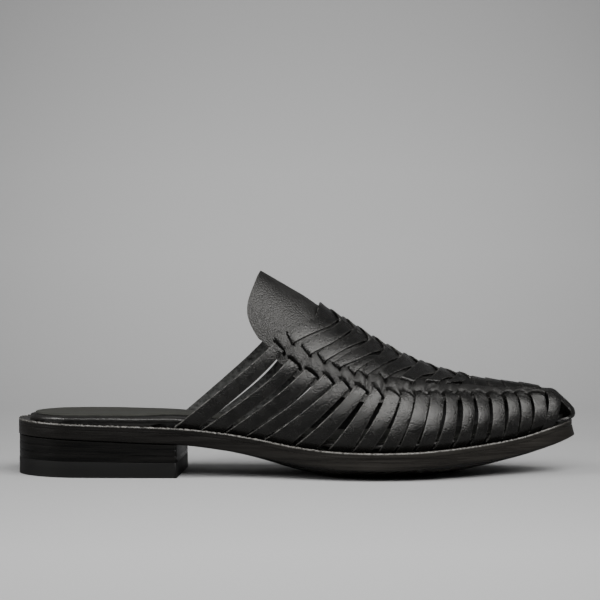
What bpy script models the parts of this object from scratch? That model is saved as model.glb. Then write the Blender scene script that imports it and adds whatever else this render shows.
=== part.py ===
"""Right-foot woven leather mule: open heel, raised tongue, slit vamp with side straps, low stacked heel.

Lengths in the tables are millimetres measured from the back of the heel. X runs to the toe, Y to the
inner (medial) side and Z up. The finished parts are in metres about the middle of the footprint.
"""
import math

import bmesh
import bpy
from mathutils import Vector

NAME = "woven_mule"
MM = 0.001
LENGTH = 272.0
SIDE_SHIFT = 6.6
GAP = 0.3
WALL = 1.7
WELT_THICK = 2.5
WELT_EASE = 0.35
MARGIN = 5.0
STATIONS = 60
TIP = 0.15

HEEL_RADIUS = 28.0
TOE_RADIUS = 12.0
WELT_END = 270.7
NARROWEST_TOE = 7.0

# The outsole's bottom is flat to FLAT_SHARE of its half width and swells up to its edge beyond.
SOLE_INSET = 0.2
SOLE_EASE = 0.6
FLAT_SHARE = 0.45
SWELL_SHARES = (0.97, 0.86, 0.74, 0.6, FLAT_SHARE)
SWELL_POWER = 1.6

INSOLE_START = 5.6
INSOLE_END = 266.4
INSOLE_INSET = 4.95
INSOLE_RISE = 4.7
INSOLE_SIDE = 1.3
INSOLE_SHOULDER = 1.4
INSOLE_CROWN = 0.3
INSOLE_FLAT = 0.55
REBATE = WALL + GAP + 0.15
REBATE_WIDE = 3.6
REBATE_SIDES = (64.0, 72.0)
REBATE_TOE = (255.0, 260.0)

SOLE_COLUMNS = ("x", "lateral", "medial", "top", "edge", "middle")
SOLE_ROWS = (
    (0.0, 28.0, 27.5, 26.50, 19.30, 19.30),
    (14.0, 29.0, 28.2, 25.95, 18.70, 18.70),
    (28.0, 30.6, 28.6, 25.40, 18.10, 18.10),
    (45.0, 31.8, 27.6, 24.90, 17.37, 17.37),
    (62.0, 32.2, 26.0, 24.40, 16.63, 16.63),
    (80.0, 32.4, 23.2, 23.60, 15.86, 15.86),
    (100.0, 33.6, 20.6, 21.60, 13.55, 12.90),
    (118.0, 36.6, 19.9, 18.80, 10.60, 8.30),
    (136.0, 41.6, 22.4, 15.60, 7.40, 3.20),
    (150.0, 46.0, 26.8, 14.10, 5.80, 0.60),
    (160.0, 48.5, 30.5, 13.60, 5.35, 0.0),
    (175.0, 50.2, 35.0, 13.40, 5.15, 0.0),
    (190.0, 48.9, 37.0, 13.60, 5.50, 0.0),
    (204.0, 44.6, 36.1, 14.30, 6.25, 0.90),
    (218.0, 37.8, 32.8, 15.30, 7.35, 3.10),
    (232.0, 29.8, 27.6, 16.70, 8.80, 5.90),
    (246.0, 22.6, 22.1, 19.00, 11.00, 9.20),
    (258.0, 17.0, 17.0, 22.30, 13.90, 12.90),
    (272.0, 11.0, 11.0, 26.00, 18.30, 18.30),
)

VAMP_COLUMNS = ("x", "ridge", "ridge_y", "inset", "lean", "side_pull", "top_pull")
VAMP_ROWS = (
    (70.0, 126.0, -3.0, 2.5, 2.0, 0.46, 0.66),
    (100.0, 109.3, -3.0, 2.5, 3.0, 0.46, 0.66),
    (119.0, 98.2, -2.0, 2.5, 4.0, 0.46, 0.66),
    (147.0, 81.8, -1.0, 2.8, 7.0, 0.46, 0.56),
    (160.0, 74.0, 0.0, 3.0, 9.0, 0.47, 0.53),
    (175.0, 64.4, 0.0, 3.0, 12.0, 0.50, 0.53),
    (190.0, 56.3, 0.0, 3.0, 14.0, 0.52, 0.56),
    (205.0, 50.4, 0.0, 3.0, 15.0, 0.54, 0.58),
    (220.0, 46.9, 0.0, 2.9, 14.0, 0.55, 0.60),
    (235.0, 44.7, 0.0, 2.6, 12.0, 0.56, 0.62),
    (250.0, 43.0, 0.0, 2.2, 8.0, 0.57, 0.64),
    (258.0, 41.7, 0.0, 1.9, 6.0, 0.57, 0.64),
    (262.0, 40.4, 0.0, 1.7, 5.0, 0.57, 0.64),
    (266.0, 37.0, 0.0, 1.5, 4.0, 0.57, 0.64),
)

# Rear edge of each side strap, and of the toe opening in front of the last one. rise is how far up the
# side the strap's slit lies, as a share of the way from one feather edge to the other; behind is how far
# the inner side's strap lies behind the outer side's.
STRAP_COLUMNS = ("foot", "slit", "rise", "bow", "crown", "behind")
STRAP_ROWS = (
    (78.3, 126.0, 0.227, 4.0, 129.0, 5.0),
    (90.6, 132.9, 0.203, 3.5, 136.5, 4.5),
    (100.5, 141.1, 0.194, 3.4, 145.0, 4.0),
    (111.3, 149.1, 0.195, 2.6, 153.0, 3.4),
    (121.8, 156.6, 0.200, 2.3, 160.0, 2.8),
    (135.0, 165.0, 0.203, 2.0, 168.0, 2.1),
    (149.6, 173.0, 0.215, 2.4, 175.5, 1.4),
    (161.5, 179.8, 0.226, 2.8, 182.0, 0.8),
    (174.0, 186.1, 0.240, 2.0, 188.0, 0.4),
    (183.2, 193.1, 0.255, 1.2, 194.5, 0.2),
    (191.8, 200.0, 0.270, 1.0, 201.0, 0.0),
    (200.4, 206.8, 0.286, 0.9, 207.5, 0.0),
    (209.6, 213.9, 0.300, 0.9, 214.3, 0.0),
    (218.0, 221.3, 0.312, 0.9, 221.5, 0.0),
    (226.6, 228.8, 0.326, 0.9, 229.0, 0.0),
    (235.0, 235.9, 0.337, 1.0, 236.0, 0.0),
    (242.6, 242.6, 0.345, 1.2, 242.8, 0.0),
    (249.6, 249.4, 0.345, 1.2, 249.8, 0.0),
    (256.8, 257.6, 0.345, 0.8, 257.8, 0.0),
    (263.6, 264.4, 0.335, 0.4, 264.6, 0.0),
)
STRAP_SHARE = 0.86
SIDE_STEPS = 7
CROWN_STEPS = 10
SLIT_FOOT = 0.05

TONGUE_COLUMNS = ("way", "back")
TONGUE_ROWS = (
    (0.00, 118.2),
    (0.06, 115.2),
    (0.13, 113.1),
    (0.20, 112.2),
    (0.28, 112.4),
    (0.36, 113.2),
    (0.45, 114.3),
    (0.60, 116.0),
    (0.80, 117.6),
    (1.00, 118.7),
)
TONGUE_FOOT = 0.217
TONGUE_SHARES = (0.0, 0.35, 0.68)

# Middle line of the strap that closes the toe, from the crown down to the welt.
NOSE_COLUMNS = ("way", "x", "z")
NOSE_ROWS = (
    (0.00, 264.6, 38.2),
    (0.20, 266.8, 36.0),
    (0.45, 269.6, 33.0),
    (0.65, 271.3, 30.4),
    (0.80, 271.5, 28.4),
    (1.00, 269.7, 25.9),
)
NOSE_STEPS = 6
NOSE_HALF = 7.0
NOSE_FLATTEN = 0.45
SEAT_END = 268.4
SEAT_SHARES = (0.4, 0.75)

BREAST_LATERAL = 78.6
BREAST_MEDIAL = 81.6
LIFT_COLUMNS = ("name", "bottom", "bottom_fall", "top", "top_fall")
LIFT_ROWS = (
    ("top_lift", 0.0, 0.0, 7.9, 0.010),
    ("heel_lift_lower", 8.2, 0.010, 11.7, 0.017),
    ("heel_lift_middle", 12.0, 0.017, 15.4, 0.026),
    ("heel_lift_upper", 15.7, 0.026, 18.95, 0.043),
)
LIFT_INSET = 0.3
LIFT_ARC = 13

MATERIALS = {
    "upper_leather": ((0.018, 0.018, 0.019, 1.0), 0.42),
    "sole_leather": ((0.030, 0.026, 0.024, 1.0), 0.52),
    "insole_leather": ((0.022, 0.022, 0.021, 1.0), 0.50),
    "heel_rubber": ((0.028, 0.028, 0.028, 1.0), 0.62),
}


def steady_slope(rows, index, column):
    """Slope at a row that never overshoots its neighbours."""
    if index == 0:
        return (rows[1][column] - rows[0][column]) / (rows[1][0] - rows[0][0])
    if index == len(rows) - 1:
        return (rows[-1][column] - rows[-2][column]) / (rows[-1][0] - rows[-2][0])
    before, here, after = rows[index - 1], rows[index], rows[index + 1]
    left = (here[column] - before[column]) / (here[0] - before[0])
    right = (after[column] - here[column]) / (after[0] - here[0])
    if left * right <= 0.0:
        return 0.0
    return 2.0 * left * right / (left + right)


def read(columns, rows, name, x):
    """Value of a named column at x, on a smooth curve through the rows."""
    column = columns.index(name)
    x = min(max(x, rows[0][0]), rows[-1][0])
    index = 0
    while index < len(rows) - 2 and x > rows[index + 1][0]:
        index += 1
    span = rows[index + 1][0] - rows[index][0]
    t = (x - rows[index][0]) / span
    start = steady_slope(rows, index, column) * span
    end = steady_slope(rows, index + 1, column) * span
    low, high = rows[index][column], rows[index + 1][column]
    ease = t * t * (3.0 - 2.0 * t)
    return low + (high - low) * ease + t * (1.0 - t) ** 2 * start - t * t * (1.0 - t) * end


def sole(name, x):
    return read(SOLE_COLUMNS, SOLE_ROWS, name, x)


def vamp(name, x):
    return read(VAMP_COLUMNS, VAMP_ROWS, name, x)


def rounded(distance, radius):
    """Share of full width reached at a distance in from a round end."""
    if distance >= radius:
        return 1.0
    if distance <= 0.0:
        return 0.0
    return math.sqrt(1.0 - (1.0 - distance / radius) ** 2)


def half_width(x, side, inset=0.0, start=0.0, end=LENGTH):
    """Half width of the sole's outline on one side, drawn in by an inset."""
    full = sole("lateral" if side < 0 else "medial", x) - inset
    back = rounded(x - start, HEEL_RADIUS - inset)
    front = rounded(end - x, max(TOE_RADIUS - inset, NARROWEST_TOE))
    return full * back * front


def place(x, y, z):
    """Table millimetres to the part's own metres."""
    return Vector(((x - LENGTH / 2.0) * MM, (y + SIDE_SHIFT) * MM, z * MM))


def arc_stations(start, end, count):
    """Stations along the shoe, closer together at both round ends."""
    stations = []
    for step in range(count + 1):
        x = start + (end - start) * (1.0 - math.cos(math.pi * step / count)) / 2.0
        stations.append(min(max(x, start + TIP), end - TIP))
    return stations


def feather(x, side):
    """Foot of the upper's wall: how far out it stands on the welt."""
    return side * (half_width(x, side, 0.0, 0.0, WELT_END) - vamp("inset", x))


def last_point(x, across):
    """Point on the last: across runs from the lateral feather (0) over the ridge (0.5) to the medial (1)."""
    side = -1 if across <= 0.5 else 1
    way = 2.0 * across if side < 0 else 2.0 * (1.0 - across)
    foot_y, foot_z = feather(x, side), sole("top", x) + GAP
    ridge_y, ridge_z = vamp("ridge_y", x), vamp("ridge", x)
    lean = math.radians(vamp("lean", x))
    pull = vamp("side_pull", x) * (ridge_z - foot_z)
    side_y = foot_y + side * math.sin(lean) * pull
    side_z = foot_z + math.cos(lean) * pull
    top_y = ridge_y + side * vamp("top_pull", x) * abs(ridge_y - foot_y)
    rest = 1.0 - way
    weights = (rest ** 3, 3.0 * rest * rest * way, 3.0 * rest * way * way, way ** 3)
    y = sum(w * v for w, v in zip(weights, (foot_y, side_y, top_y, ridge_y)))
    z = sum(w * v for w, v in zip(weights, (foot_z, side_z, ridge_z, ridge_z)))
    return (x, y, z)


def loft(name, sections, material, collection):
    """Closed solid through rings of points, one ring a section, flat at both ends."""
    shape = bmesh.new()
    rings = [[shape.verts.new(place(*point)) for point in section] for section in sections]
    count = len(rings[0])
    for ring, following in zip(rings, rings[1:]):
        for index in range(count):
            other = (index + 1) % count
            shape.faces.new((ring[index], ring[other], following[other], following[index]))
    shape.faces.new(rings[0][::-1])
    shape.faces.new(rings[-1])
    return finish(name, shape, material, collection)


def finish(name, shape, material, collection):
    """Named object of its own material from a mesh in the making, its faces turned outward."""
    bmesh.ops.recalc_face_normals(shape, faces=shape.faces)
    mesh = bpy.data.meshes.new(name)
    shape.to_mesh(mesh)
    shape.free()
    mesh.materials.append(bpy.data.materials[material])
    item = bpy.data.objects.new(name, mesh)
    collection.objects.link(item)
    return item


def welt_section(x):
    """Thin leather layer, its upper corners eased."""
    left = -half_width(x, -1, 0.0, 0.0, WELT_END)
    right = half_width(x, 1, 0.0, 0.0, WELT_END)
    top = sole("top", x)
    bottom = top - WELT_THICK
    ease = min(WELT_EASE, 0.2 * right)
    outline = ((left + ease, top), (right - ease, top), (right, top - ease),
               (right, bottom), (left, bottom), (left, top - ease))
    return [(x, y, z) for y, z in outline]


def outsole_section(x):
    """Sole with a square edge and a bottom that swells down to a flat middle."""
    left, right = -half_width(x, -1, SOLE_INSET), half_width(x, 1, SOLE_INSET)
    top = sole("top", x) - WELT_THICK - GAP
    edge, middle = sole("edge", x), sole("middle", x)
    ease = min(SOLE_EASE, 0.2 * right)
    swell = []
    for share in SWELL_SHARES:
        rise = ((share - FLAT_SHARE) / (1.0 - FLAT_SHARE)) ** SWELL_POWER
        swell.append((share, middle + (edge - middle) * rise))
    outline = [(left, top), (right, top), (right, edge + ease)]
    outline += [(right * share, z) for share, z in swell]
    outline += [(left * share, z) for share, z in reversed(swell)]
    outline.append((left, edge + ease))
    return [(x, y, z) for y, z in outline]


def ramp(x, low, high):
    return min(max((x - low) / (high - low), 0.0), 1.0)


def insole_section(x):
    """Wrapped footbed, rebated underneath where the upper's margin is turned in."""
    left = -half_width(x, -1, INSOLE_INSET, INSOLE_START, INSOLE_END)
    right = half_width(x, 1, INSOLE_INSET, INSOLE_START, INSOLE_END)
    base = sole("top", x)
    rim = base + GAP + REBATE * ramp(x, *REBATE_SIDES)
    middle = base + GAP + REBATE * ramp(x, *REBATE_TOE)
    top = base + INSOLE_RISE
    shoulder = min(INSOLE_SHOULDER, 0.3 * right)
    step_left = left + min(REBATE_WIDE, -0.6 * left)
    step_right = right - min(REBATE_WIDE, 0.6 * right)
    outline = ((left, top - INSOLE_SIDE), (left + shoulder, top - INSOLE_CROWN), (INSOLE_FLAT * left, top),
               (INSOLE_FLAT * right, top), (right - shoulder, top - INSOLE_CROWN), (right, top - INSOLE_SIDE),
               (right, rim), (step_right, rim), (step_right, middle),
               (step_left, middle), (step_left, rim), (left, rim))
    return [(x, y, z) for y, z in outline]


def heel_outline(inset):
    """Closed outline of the heel block, from the lateral breast corner round the back."""
    outline = []
    for side, breast in ((-1, BREAST_LATERAL), (1, BREAST_MEDIAL)):
        run = []
        for step in range(LIFT_ARC + 1):
            share = 1.0 - math.cos(math.pi / 2.0 * step / LIFT_ARC)
            x = max(inset + (breast - inset) * share, inset + TIP)
            run.append((x, side * half_width(x, side, inset, inset)))
        outline += run[::-1] if side < 0 else run
    return outline


def heel_lift(row, collection):
    """One layer of the heel between two planes that fall towards the breast."""
    lift = dict(zip(LIFT_COLUMNS, row))
    outline = heel_outline(LIFT_INSET)
    shape = bmesh.new()
    rings = []
    for level, fall in ((lift["bottom"], lift["bottom_fall"]), (lift["top"], lift["top_fall"])):
        rings.append([shape.verts.new(place(x, y, level - fall * x)) for x, y in outline])
    count = len(outline)
    for index in range(count):
        other = (index + 1) % count
        shape.faces.new((rings[0][index], rings[0][other], rings[1][other], rings[1][index]))
    shape.faces.new(rings[0][::-1])
    shape.faces.new(rings[1])
    material = "heel_rubber" if lift["name"] == "top_lift" else "sole_leather"
    return finish(lift["name"], shape, material, collection)


def blend_rows(row, following, share):
    return tuple(a + (b - a) * share for a, b in zip(row, following))


def strap_edges():
    """Rear and front edge of every side strap in order, the last front edge at the toe opening."""
    edges = []
    for row, following in zip(STRAP_ROWS, STRAP_ROWS[1:]):
        last = following is STRAP_ROWS[-1]
        edges.append(row)
        edges.append(following if last else blend_rows(row, following, STRAP_SHARE))
    return edges


def side_shares():
    """Heights up a side strap as shares: the slit's foot, then even steps to the slit's top."""
    steps = [SLIT_FOOT + (1.0 - SLIT_FOOT) * step / SIDE_STEPS for step in range(SIDE_STEPS + 1)]
    return [0.0] + steps


def side_point(edge, share, side):
    """Station and way across of a strap edge, a share of the way up from the feather to the slit's top."""
    x = edge["foot"] + (edge["slit"] - edge["foot"]) * share + edge["bow"] * 4.0 * share * (1.0 - share)
    across = edge["rise"] * share
    if side < 0:
        return (x, across)
    return (x - edge["behind"] * (0.2 + 0.8 * math.sqrt(share)), 1.0 - across)


def crown_point(edge, share):
    """Station and way across of the woven crown, a share of the way from one slit top to the other."""
    x = edge["slit"] + (edge["crown"] - edge["slit"]) * math.sin(math.pi * share)
    return (x - edge["behind"] * share * share, edge["rise"] + (1.0 - 2.0 * edge["rise"]) * share)


def edge_line(row):
    """Points along one strap edge from the lateral foot over the crown to the medial foot."""
    edge = dict(zip(STRAP_COLUMNS, row))
    line = [side_point(edge, share, -1) for share in side_shares()]
    line += [crown_point(edge, step / CROWN_STEPS) for step in range(1, CROWN_STEPS)]
    line += [side_point(edge, share, 1) for share in reversed(side_shares())]
    return [last_point(x, across) for x, across in line]


def tongue_line(share):
    """Points across the tongue, a share of the way from its rear edge to the first strap."""
    first = dict(zip(STRAP_COLUMNS, STRAP_ROWS[0]))
    line = []
    for step in range(CROWN_STEPS + 1):
        way = step / CROWN_STEPS
        x_front, across_front = crown_point(first, way)
        x_back = read(TONGUE_COLUMNS, TONGUE_ROWS, "back", 2.0 * min(way, 1.0 - way))
        across_back = TONGUE_FOOT + (1.0 - 2.0 * TONGUE_FOOT) * way
        x = x_back + (x_front - x_back) * share
        across = across_back + (across_front - across_back) * share
        line.append(last_point(x, across))
    return line


def margin_point(x, side):
    """Inner edge of the margin that is turned in on the welt."""
    return (x, feather(x, side) - side * MARGIN, sole("top", x) + GAP)


def nose_line(step, crown):
    """Row of points across the toe strap, keeping the crown's own cross curve."""
    way = step / NOSE_STEPS
    ahead, behind = min(way + 0.02, 1.0), max(way - 0.02, 0.0)
    x = read(NOSE_COLUMNS, NOSE_ROWS, "x", way)
    z = read(NOSE_COLUMNS, NOSE_ROWS, "z", way)
    run_x = read(NOSE_COLUMNS, NOSE_ROWS, "x", ahead) - read(NOSE_COLUMNS, NOSE_ROWS, "x", behind)
    run_z = read(NOSE_COLUMNS, NOSE_ROWS, "z", ahead) - read(NOSE_COLUMNS, NOSE_ROWS, "z", behind)
    size = math.hypot(run_x, run_z)
    top = max(point[2] for point in crown)
    widest = max(abs(point[1]) for point in crown)
    width = widest + (NOSE_HALF - widest) * min(1.0, 2.0 * way)
    line = []
    for point in crown:
        drop = (top - point[2]) * (1.0 - NOSE_FLATTEN * way)
        line.append((x + drop * run_z / size, point[1] * width / widest, z - drop * run_x / size))
    return line


def upper_faces(shape):
    """Open shell of the upper: side straps, close-woven crown, tongue, toe strap and turned-in margin."""
    grid = [[shape.verts.new(place(*point)) for point in edge_line(row)] for row in strap_edges()]
    last = len(grid[0]) - 1
    slit = set(range(1, SIDE_STEPS + 1)) | set(range(last - SIDE_STEPS - 1, last - 1))
    for column in range(len(grid) - 1):
        for row in range(last):
            if column % 2 == 1 and row in slit:
                continue
            near, far = grid[column], grid[column + 1]
            shape.faces.new((near[row], near[row + 1], far[row + 1], far[row]))
    crown = range(SIDE_STEPS + 1, last - SIDE_STEPS)
    lines = [[shape.verts.new(place(*point)) for point in tongue_line(share)] for share in TONGUE_SHARES]
    lines.append([grid[0][row] for row in crown])
    join_lines(shape, lines)
    front = [edge_line(strap_edges()[-1])[row] for row in crown]
    nose = [[grid[-1][row] for row in crown]]
    for step in range(1, NOSE_STEPS + 1):
        nose.append([shape.verts.new(place(*point)) for point in nose_line(step, front)])
    join_lines(shape, nose)
    add_margin(shape, grid, last, nose[-1])


def join_lines(shape, lines):
    for line, following in zip(lines, lines[1:]):
        for index in range(len(line) - 1):
            shape.faces.new((line[index], line[index + 1], following[index + 1], following[index]))


def add_margin(shape, grid, last, nose_foot):
    """Margin turned in under the insole along both sides, and the closed seat under the toe."""
    seats = []
    for side, row in ((-1, 0), (1, last)):
        outer = [line[row] for line in grid]
        inner = []
        for vertex in outer:
            x = vertex.co.x / MM + LENGTH / 2.0
            inner.append(shape.verts.new(place(*margin_point(x, side))))
        join_lines(shape, [outer, inner])
        seats.append((outer[-1], inner[-1]))
    rim = []
    for side in (-1, 1):
        start = STRAP_ROWS[-1][0]
        xs = [start + (SEAT_END - start) * share for share in SEAT_SHARES]
        rim.append([shape.verts.new(place(x, feather(x, side), sole("top", x) + GAP)) for x in xs])
    seat = [seats[0][1], seats[0][0]] + rim[0] + list(nose_foot) + rim[1][::-1]
    seat += [seats[1][0], seats[1][1]]
    shape.faces.new(seat)


def build_upper(collection):
    shape = bmesh.new()
    upper_faces(shape)
    item = finish("upper", shape, "upper_leather", collection)
    wall = item.modifiers.new("wall", "SOLIDIFY")
    wall.thickness = WALL * MM
    wall.offset = -1.0
    wall.use_even_offset = True
    wall.use_quality_normals = True


def make_materials():
    for name, (colour, roughness) in MATERIALS.items():
        material = bpy.data.materials.new(name)
        material.use_nodes = True
        shader = material.node_tree.nodes["Principled BSDF"]
        shader.inputs["Base Color"].default_value = colour
        shader.inputs["Roughness"].default_value = roughness
        shader.inputs["Metallic"].default_value = 0.0


def build():
    for item in list(bpy.data.objects):
        bpy.data.objects.remove(item, do_unlink=True)
    collection = bpy.data.collections.new(NAME)
    bpy.context.scene.collection.children.link(collection)
    make_materials()
    for row in LIFT_ROWS:
        heel_lift(row, collection)
    outsole = [outsole_section(x) for x in arc_stations(0.0, LENGTH, STATIONS)]
    loft("outsole", outsole, "sole_leather", collection)
    welt = [welt_section(x) for x in arc_stations(0.0, WELT_END, STATIONS)]
    loft("welt", welt, "sole_leather", collection)
    insole = [insole_section(x) for x in arc_stations(INSOLE_START, INSOLE_END, STATIONS)]
    loft("insole", insole, "insole_leather", collection)
    build_upper(collection)


build()
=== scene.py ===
import math

import bpy
import numpy as np
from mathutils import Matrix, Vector


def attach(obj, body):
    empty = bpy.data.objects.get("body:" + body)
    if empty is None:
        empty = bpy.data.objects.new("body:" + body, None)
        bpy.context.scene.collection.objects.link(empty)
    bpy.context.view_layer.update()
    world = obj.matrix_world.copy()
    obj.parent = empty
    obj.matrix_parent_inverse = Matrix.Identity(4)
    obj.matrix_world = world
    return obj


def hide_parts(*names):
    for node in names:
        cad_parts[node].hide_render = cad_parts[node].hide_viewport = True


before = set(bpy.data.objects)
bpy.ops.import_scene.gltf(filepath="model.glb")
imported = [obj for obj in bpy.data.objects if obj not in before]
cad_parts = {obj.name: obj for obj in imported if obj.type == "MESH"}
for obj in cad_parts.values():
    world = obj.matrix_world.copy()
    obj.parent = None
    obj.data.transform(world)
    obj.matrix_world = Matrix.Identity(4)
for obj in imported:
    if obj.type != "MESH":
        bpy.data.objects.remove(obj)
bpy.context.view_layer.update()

# Lengths are in millimetres from the back of the heel: x to the toe, y to the inner side, z up.
sideNames = {-1: "outer", 1: "inner"}
shoe = {"length": 272.0, "sideShift": 6.6, "gap": 0.3, "heelRadius": 28.0, "toeRadius": 12.0,
        "narrowestToe": 7.0, "weltEnd": 270.7, "weltThick": 2.5}

soleNames = ("lateral", "medial", "top", "edge", "middle")
soleRows = (
    (0, 28, 27.5, 26.5, 19.3, 19.3), (14, 29, 28.2, 25.95, 18.7, 18.7),
    (28, 30.6, 28.6, 25.4, 18.1, 18.1), (45, 31.8, 27.6, 24.9, 17.37, 17.37),
    (62, 32.2, 26, 24.4, 16.63, 16.63), (80, 32.4, 23.2, 23.6, 15.86, 15.86),
    (100, 33.6, 20.6, 21.6, 13.55, 12.9), (118, 36.6, 19.9, 18.8, 10.6, 8.3),
    (136, 41.6, 22.4, 15.6, 7.4, 3.2), (150, 46, 26.8, 14.1, 5.8, 0.6),
    (160, 48.5, 30.5, 13.6, 5.35, 0), (175, 50.2, 35, 13.4, 5.15, 0),
    (190, 48.9, 37, 13.6, 5.5, 0), (204, 44.6, 36.1, 14.3, 6.25, 0.9),
    (218, 37.8, 32.8, 15.3, 7.35, 3.1), (232, 29.8, 27.6, 16.7, 8.8, 5.9),
    (246, 22.6, 22.1, 19, 11, 9.2), (258, 17, 17, 22.3, 13.9, 12.9), (272, 11, 11, 26, 18.3, 18.3),
)
vampNames = ("ridge", "ridgeY", "inset", "lean", "sidePull", "topPull")
vampRows = (
    (70, 126, -3, 2.5, 2, 0.46, 0.66), (100, 109.3, -3, 2.5, 3, 0.46, 0.66),
    (119, 98.2, -2, 2.5, 4, 0.46, 0.66), (147, 81.8, -1, 2.8, 7, 0.46, 0.56),
    (160, 74, 0, 3, 9, 0.47, 0.53), (175, 64.4, 0, 3, 12, 0.5, 0.53),
    (190, 56.3, 0, 3, 14, 0.52, 0.56), (205, 50.4, 0, 3, 15, 0.54, 0.58),
    (220, 46.9, 0, 2.9, 14, 0.55, 0.6), (235, 44.7, 0, 2.6, 12, 0.56, 0.62),
    (250, 43, 0, 2.2, 8, 0.57, 0.64), (258, 41.7, 0, 1.9, 6, 0.57, 0.64),
    (262, 40.4, 0, 1.7, 5, 0.57, 0.64), (266, 37, 0, 1.5, 4, 0.57, 0.64),
)


def smoothTable(names, rows):
    # steady curves through the rows, never past a row's own value, read finely
    knots = np.array([row[0] for row in rows], float)
    spans = np.diff(knots)
    fine = np.linspace(knots[0], knots[-1], 2001)
    index = np.clip(np.searchsorted(knots, fine, side="right") - 1, 0, len(spans) - 1)
    t = (fine - knots[index]) / spans[index]
    ease = t * t * (3 - 2 * t)
    table = {"at": fine}
    for column, name in enumerate(names, start=1):
        values = np.array([row[column] for row in rows], float)
        secants = np.diff(values) / spans
        slopes = np.zeros(len(knots))
        slopes[0] = secants[0]
        slopes[-1] = secants[-1]
        for i in range(1, len(secants)):
            if secants[i - 1] * secants[i] > 0:
                slopes[i] = 2 * secants[i - 1] * secants[i] / (secants[i - 1] + secants[i])
        start = slopes[index] * spans[index]
        end = slopes[index + 1] * spans[index]
        low, high = values[index], values[index + 1]
        table[name] = low + (high - low) * ease + t * (1 - t) ** 2 * start - t * t * (1 - t) * end
    return table


def readTable(table, name, at):
    return np.interp(at, table["at"], table[name])


soleTable = smoothTable(soleNames, soleRows)
vampTable = smoothTable(vampNames, vampRows)


def smoothStep(value, low, high):
    t = np.clip((value - low) / (high - low), 0, 1)
    return t * t * (3 - 2 * t)


def roundEnd(distance, radius):
    return np.sqrt(1 - (1 - np.clip(distance / radius, 0, 1)) ** 2)


def offMiddle(share):
    # 0 along a strap's middle, 1 at both its edges
    return np.abs(2 * share - 1)


def roundOver(fall, radius):
    # how far a rounded end has dropped; fall runs from 0 to 1 at its tip
    return radius * (1 - np.sqrt(1 - fall ** 2 * 0.999))


def halfWidth(x, side, inset=0.0, start=0.0, end=None):
    end = shoe["length"] if end is None else end
    full = readTable(soleTable, "lateral" if side < 0 else "medial", x) - inset
    front = np.maximum(shoe["toeRadius"] - inset, shoe["narrowestToe"])
    return full * roundEnd(x - start, shoe["heelRadius"] - inset) * roundEnd(end - x, front)


def featherWidth(x, side):
    return halfWidth(x, side, 0.0, 0.0, shoe["weltEnd"]) - readTable(vampTable, "inset", x)


def lastPoint(x, across):
    # across runs from the outer feather edge (0) over the ridge (0.5) to the inner one (1)
    outer = across <= 0.5
    side = np.where(outer, -1.0, 1.0)
    way = np.where(outer, 2 * across, 2 * (1 - across))
    footY = side * np.where(outer, featherWidth(x, -1), featherWidth(x, 1))
    footZ = readTable(soleTable, "top", x) + shoe["gap"]
    ridgeY = readTable(vampTable, "ridgeY", x)
    ridgeZ = readTable(vampTable, "ridge", x)
    lean = np.radians(readTable(vampTable, "lean", x))
    pull = readTable(vampTable, "sidePull", x) * (ridgeZ - footZ)
    sideY = footY + side * np.sin(lean) * pull
    sideZ = footZ + np.cos(lean) * pull
    topY = ridgeY + side * readTable(vampTable, "topPull", x) * np.abs(ridgeY - footY)
    a, b, c, d = (1 - way) ** 3, 3 * (1 - way) ** 2 * way, 3 * (1 - way) * way ** 2, way ** 3
    y = a * footY + b * sideY + c * topY + d * ridgeY
    z = a * footZ + b * sideZ + c * ridgeZ + d * ridgeZ
    return np.stack([x, y, z], axis=-1)


def shellPoint(x, across, height):
    # a point that stands a height off the last
    stepX, stepA = 0.2, 0.002
    alongX = lastPoint(x + stepX, across) - lastPoint(x - stepX, across)
    low = np.clip(across - stepA, 0, 1)
    high = np.clip(across + stepA, 0, 1)
    around = lastPoint(x, high) - lastPoint(x, low)
    normal = np.cross(alongX, around)
    normal /= np.linalg.norm(normal, axis=-1, keepdims=True)
    return lastPoint(x, across) + normal * np.asarray(height)[..., None]


def girth(x):
    # length over the last from feather edge to feather edge
    ways = np.linspace(0, 1, 41)
    points = lastPoint(np.full(41, float(x)), ways)
    return float(np.linalg.norm(np.diff(points, axis=0), axis=1).sum())


girthAt = np.array([girth(x) for x in range(60, 272)])


def surfaceMm(x, across):
    # flat measure of the last, in millimetres both ways
    return x, across * np.interp(x, np.arange(60, 272), girthAt)


def toMetres(points):
    moved = np.array(points, float)
    moved[:, 0] -= shoe["length"] / 2
    moved[:, 1] += shoe["sideShift"]
    return moved * 0.001


def deselectAll():
    bpy.ops.object.select_all(action="DESELECT")


def pick(piece):
    deselectAll()
    piece.select_set(True)
    bpy.context.view_layer.objects.active = piece


def addGrid(name, columns, rows):
    deselectAll()
    bpy.ops.mesh.primitive_grid_add(x_subdivisions=columns - 1, y_subdivisions=rows - 1, size=1.0)
    piece = bpy.context.object
    piece.name = name
    piece.data.name = name
    return piece


def gridPlaces(piece, columns, rows):
    spots = np.zeros(len(piece.data.vertices) * 3)
    piece.data.vertices.foreach_get("co", spots)
    spots = spots.reshape(-1, 3)
    column = np.rint((spots[:, 0] + 0.5) * (columns - 1)).astype(int)
    row = np.rint((spots[:, 1] + 0.5) * (rows - 1)).astype(int)
    return column, row


def setPoints(piece, points):
    piece.data.vertices.foreach_set("co", toMetres(points).astype(np.float32).ravel())
    piece.data.update()


def setValue(piece, name, values):
    layer = piece.data.attributes.get(name) or piece.data.attributes.new(name, "FLOAT", "POINT")
    layer.data.foreach_set("value", np.asarray(values, np.float32))


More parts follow.
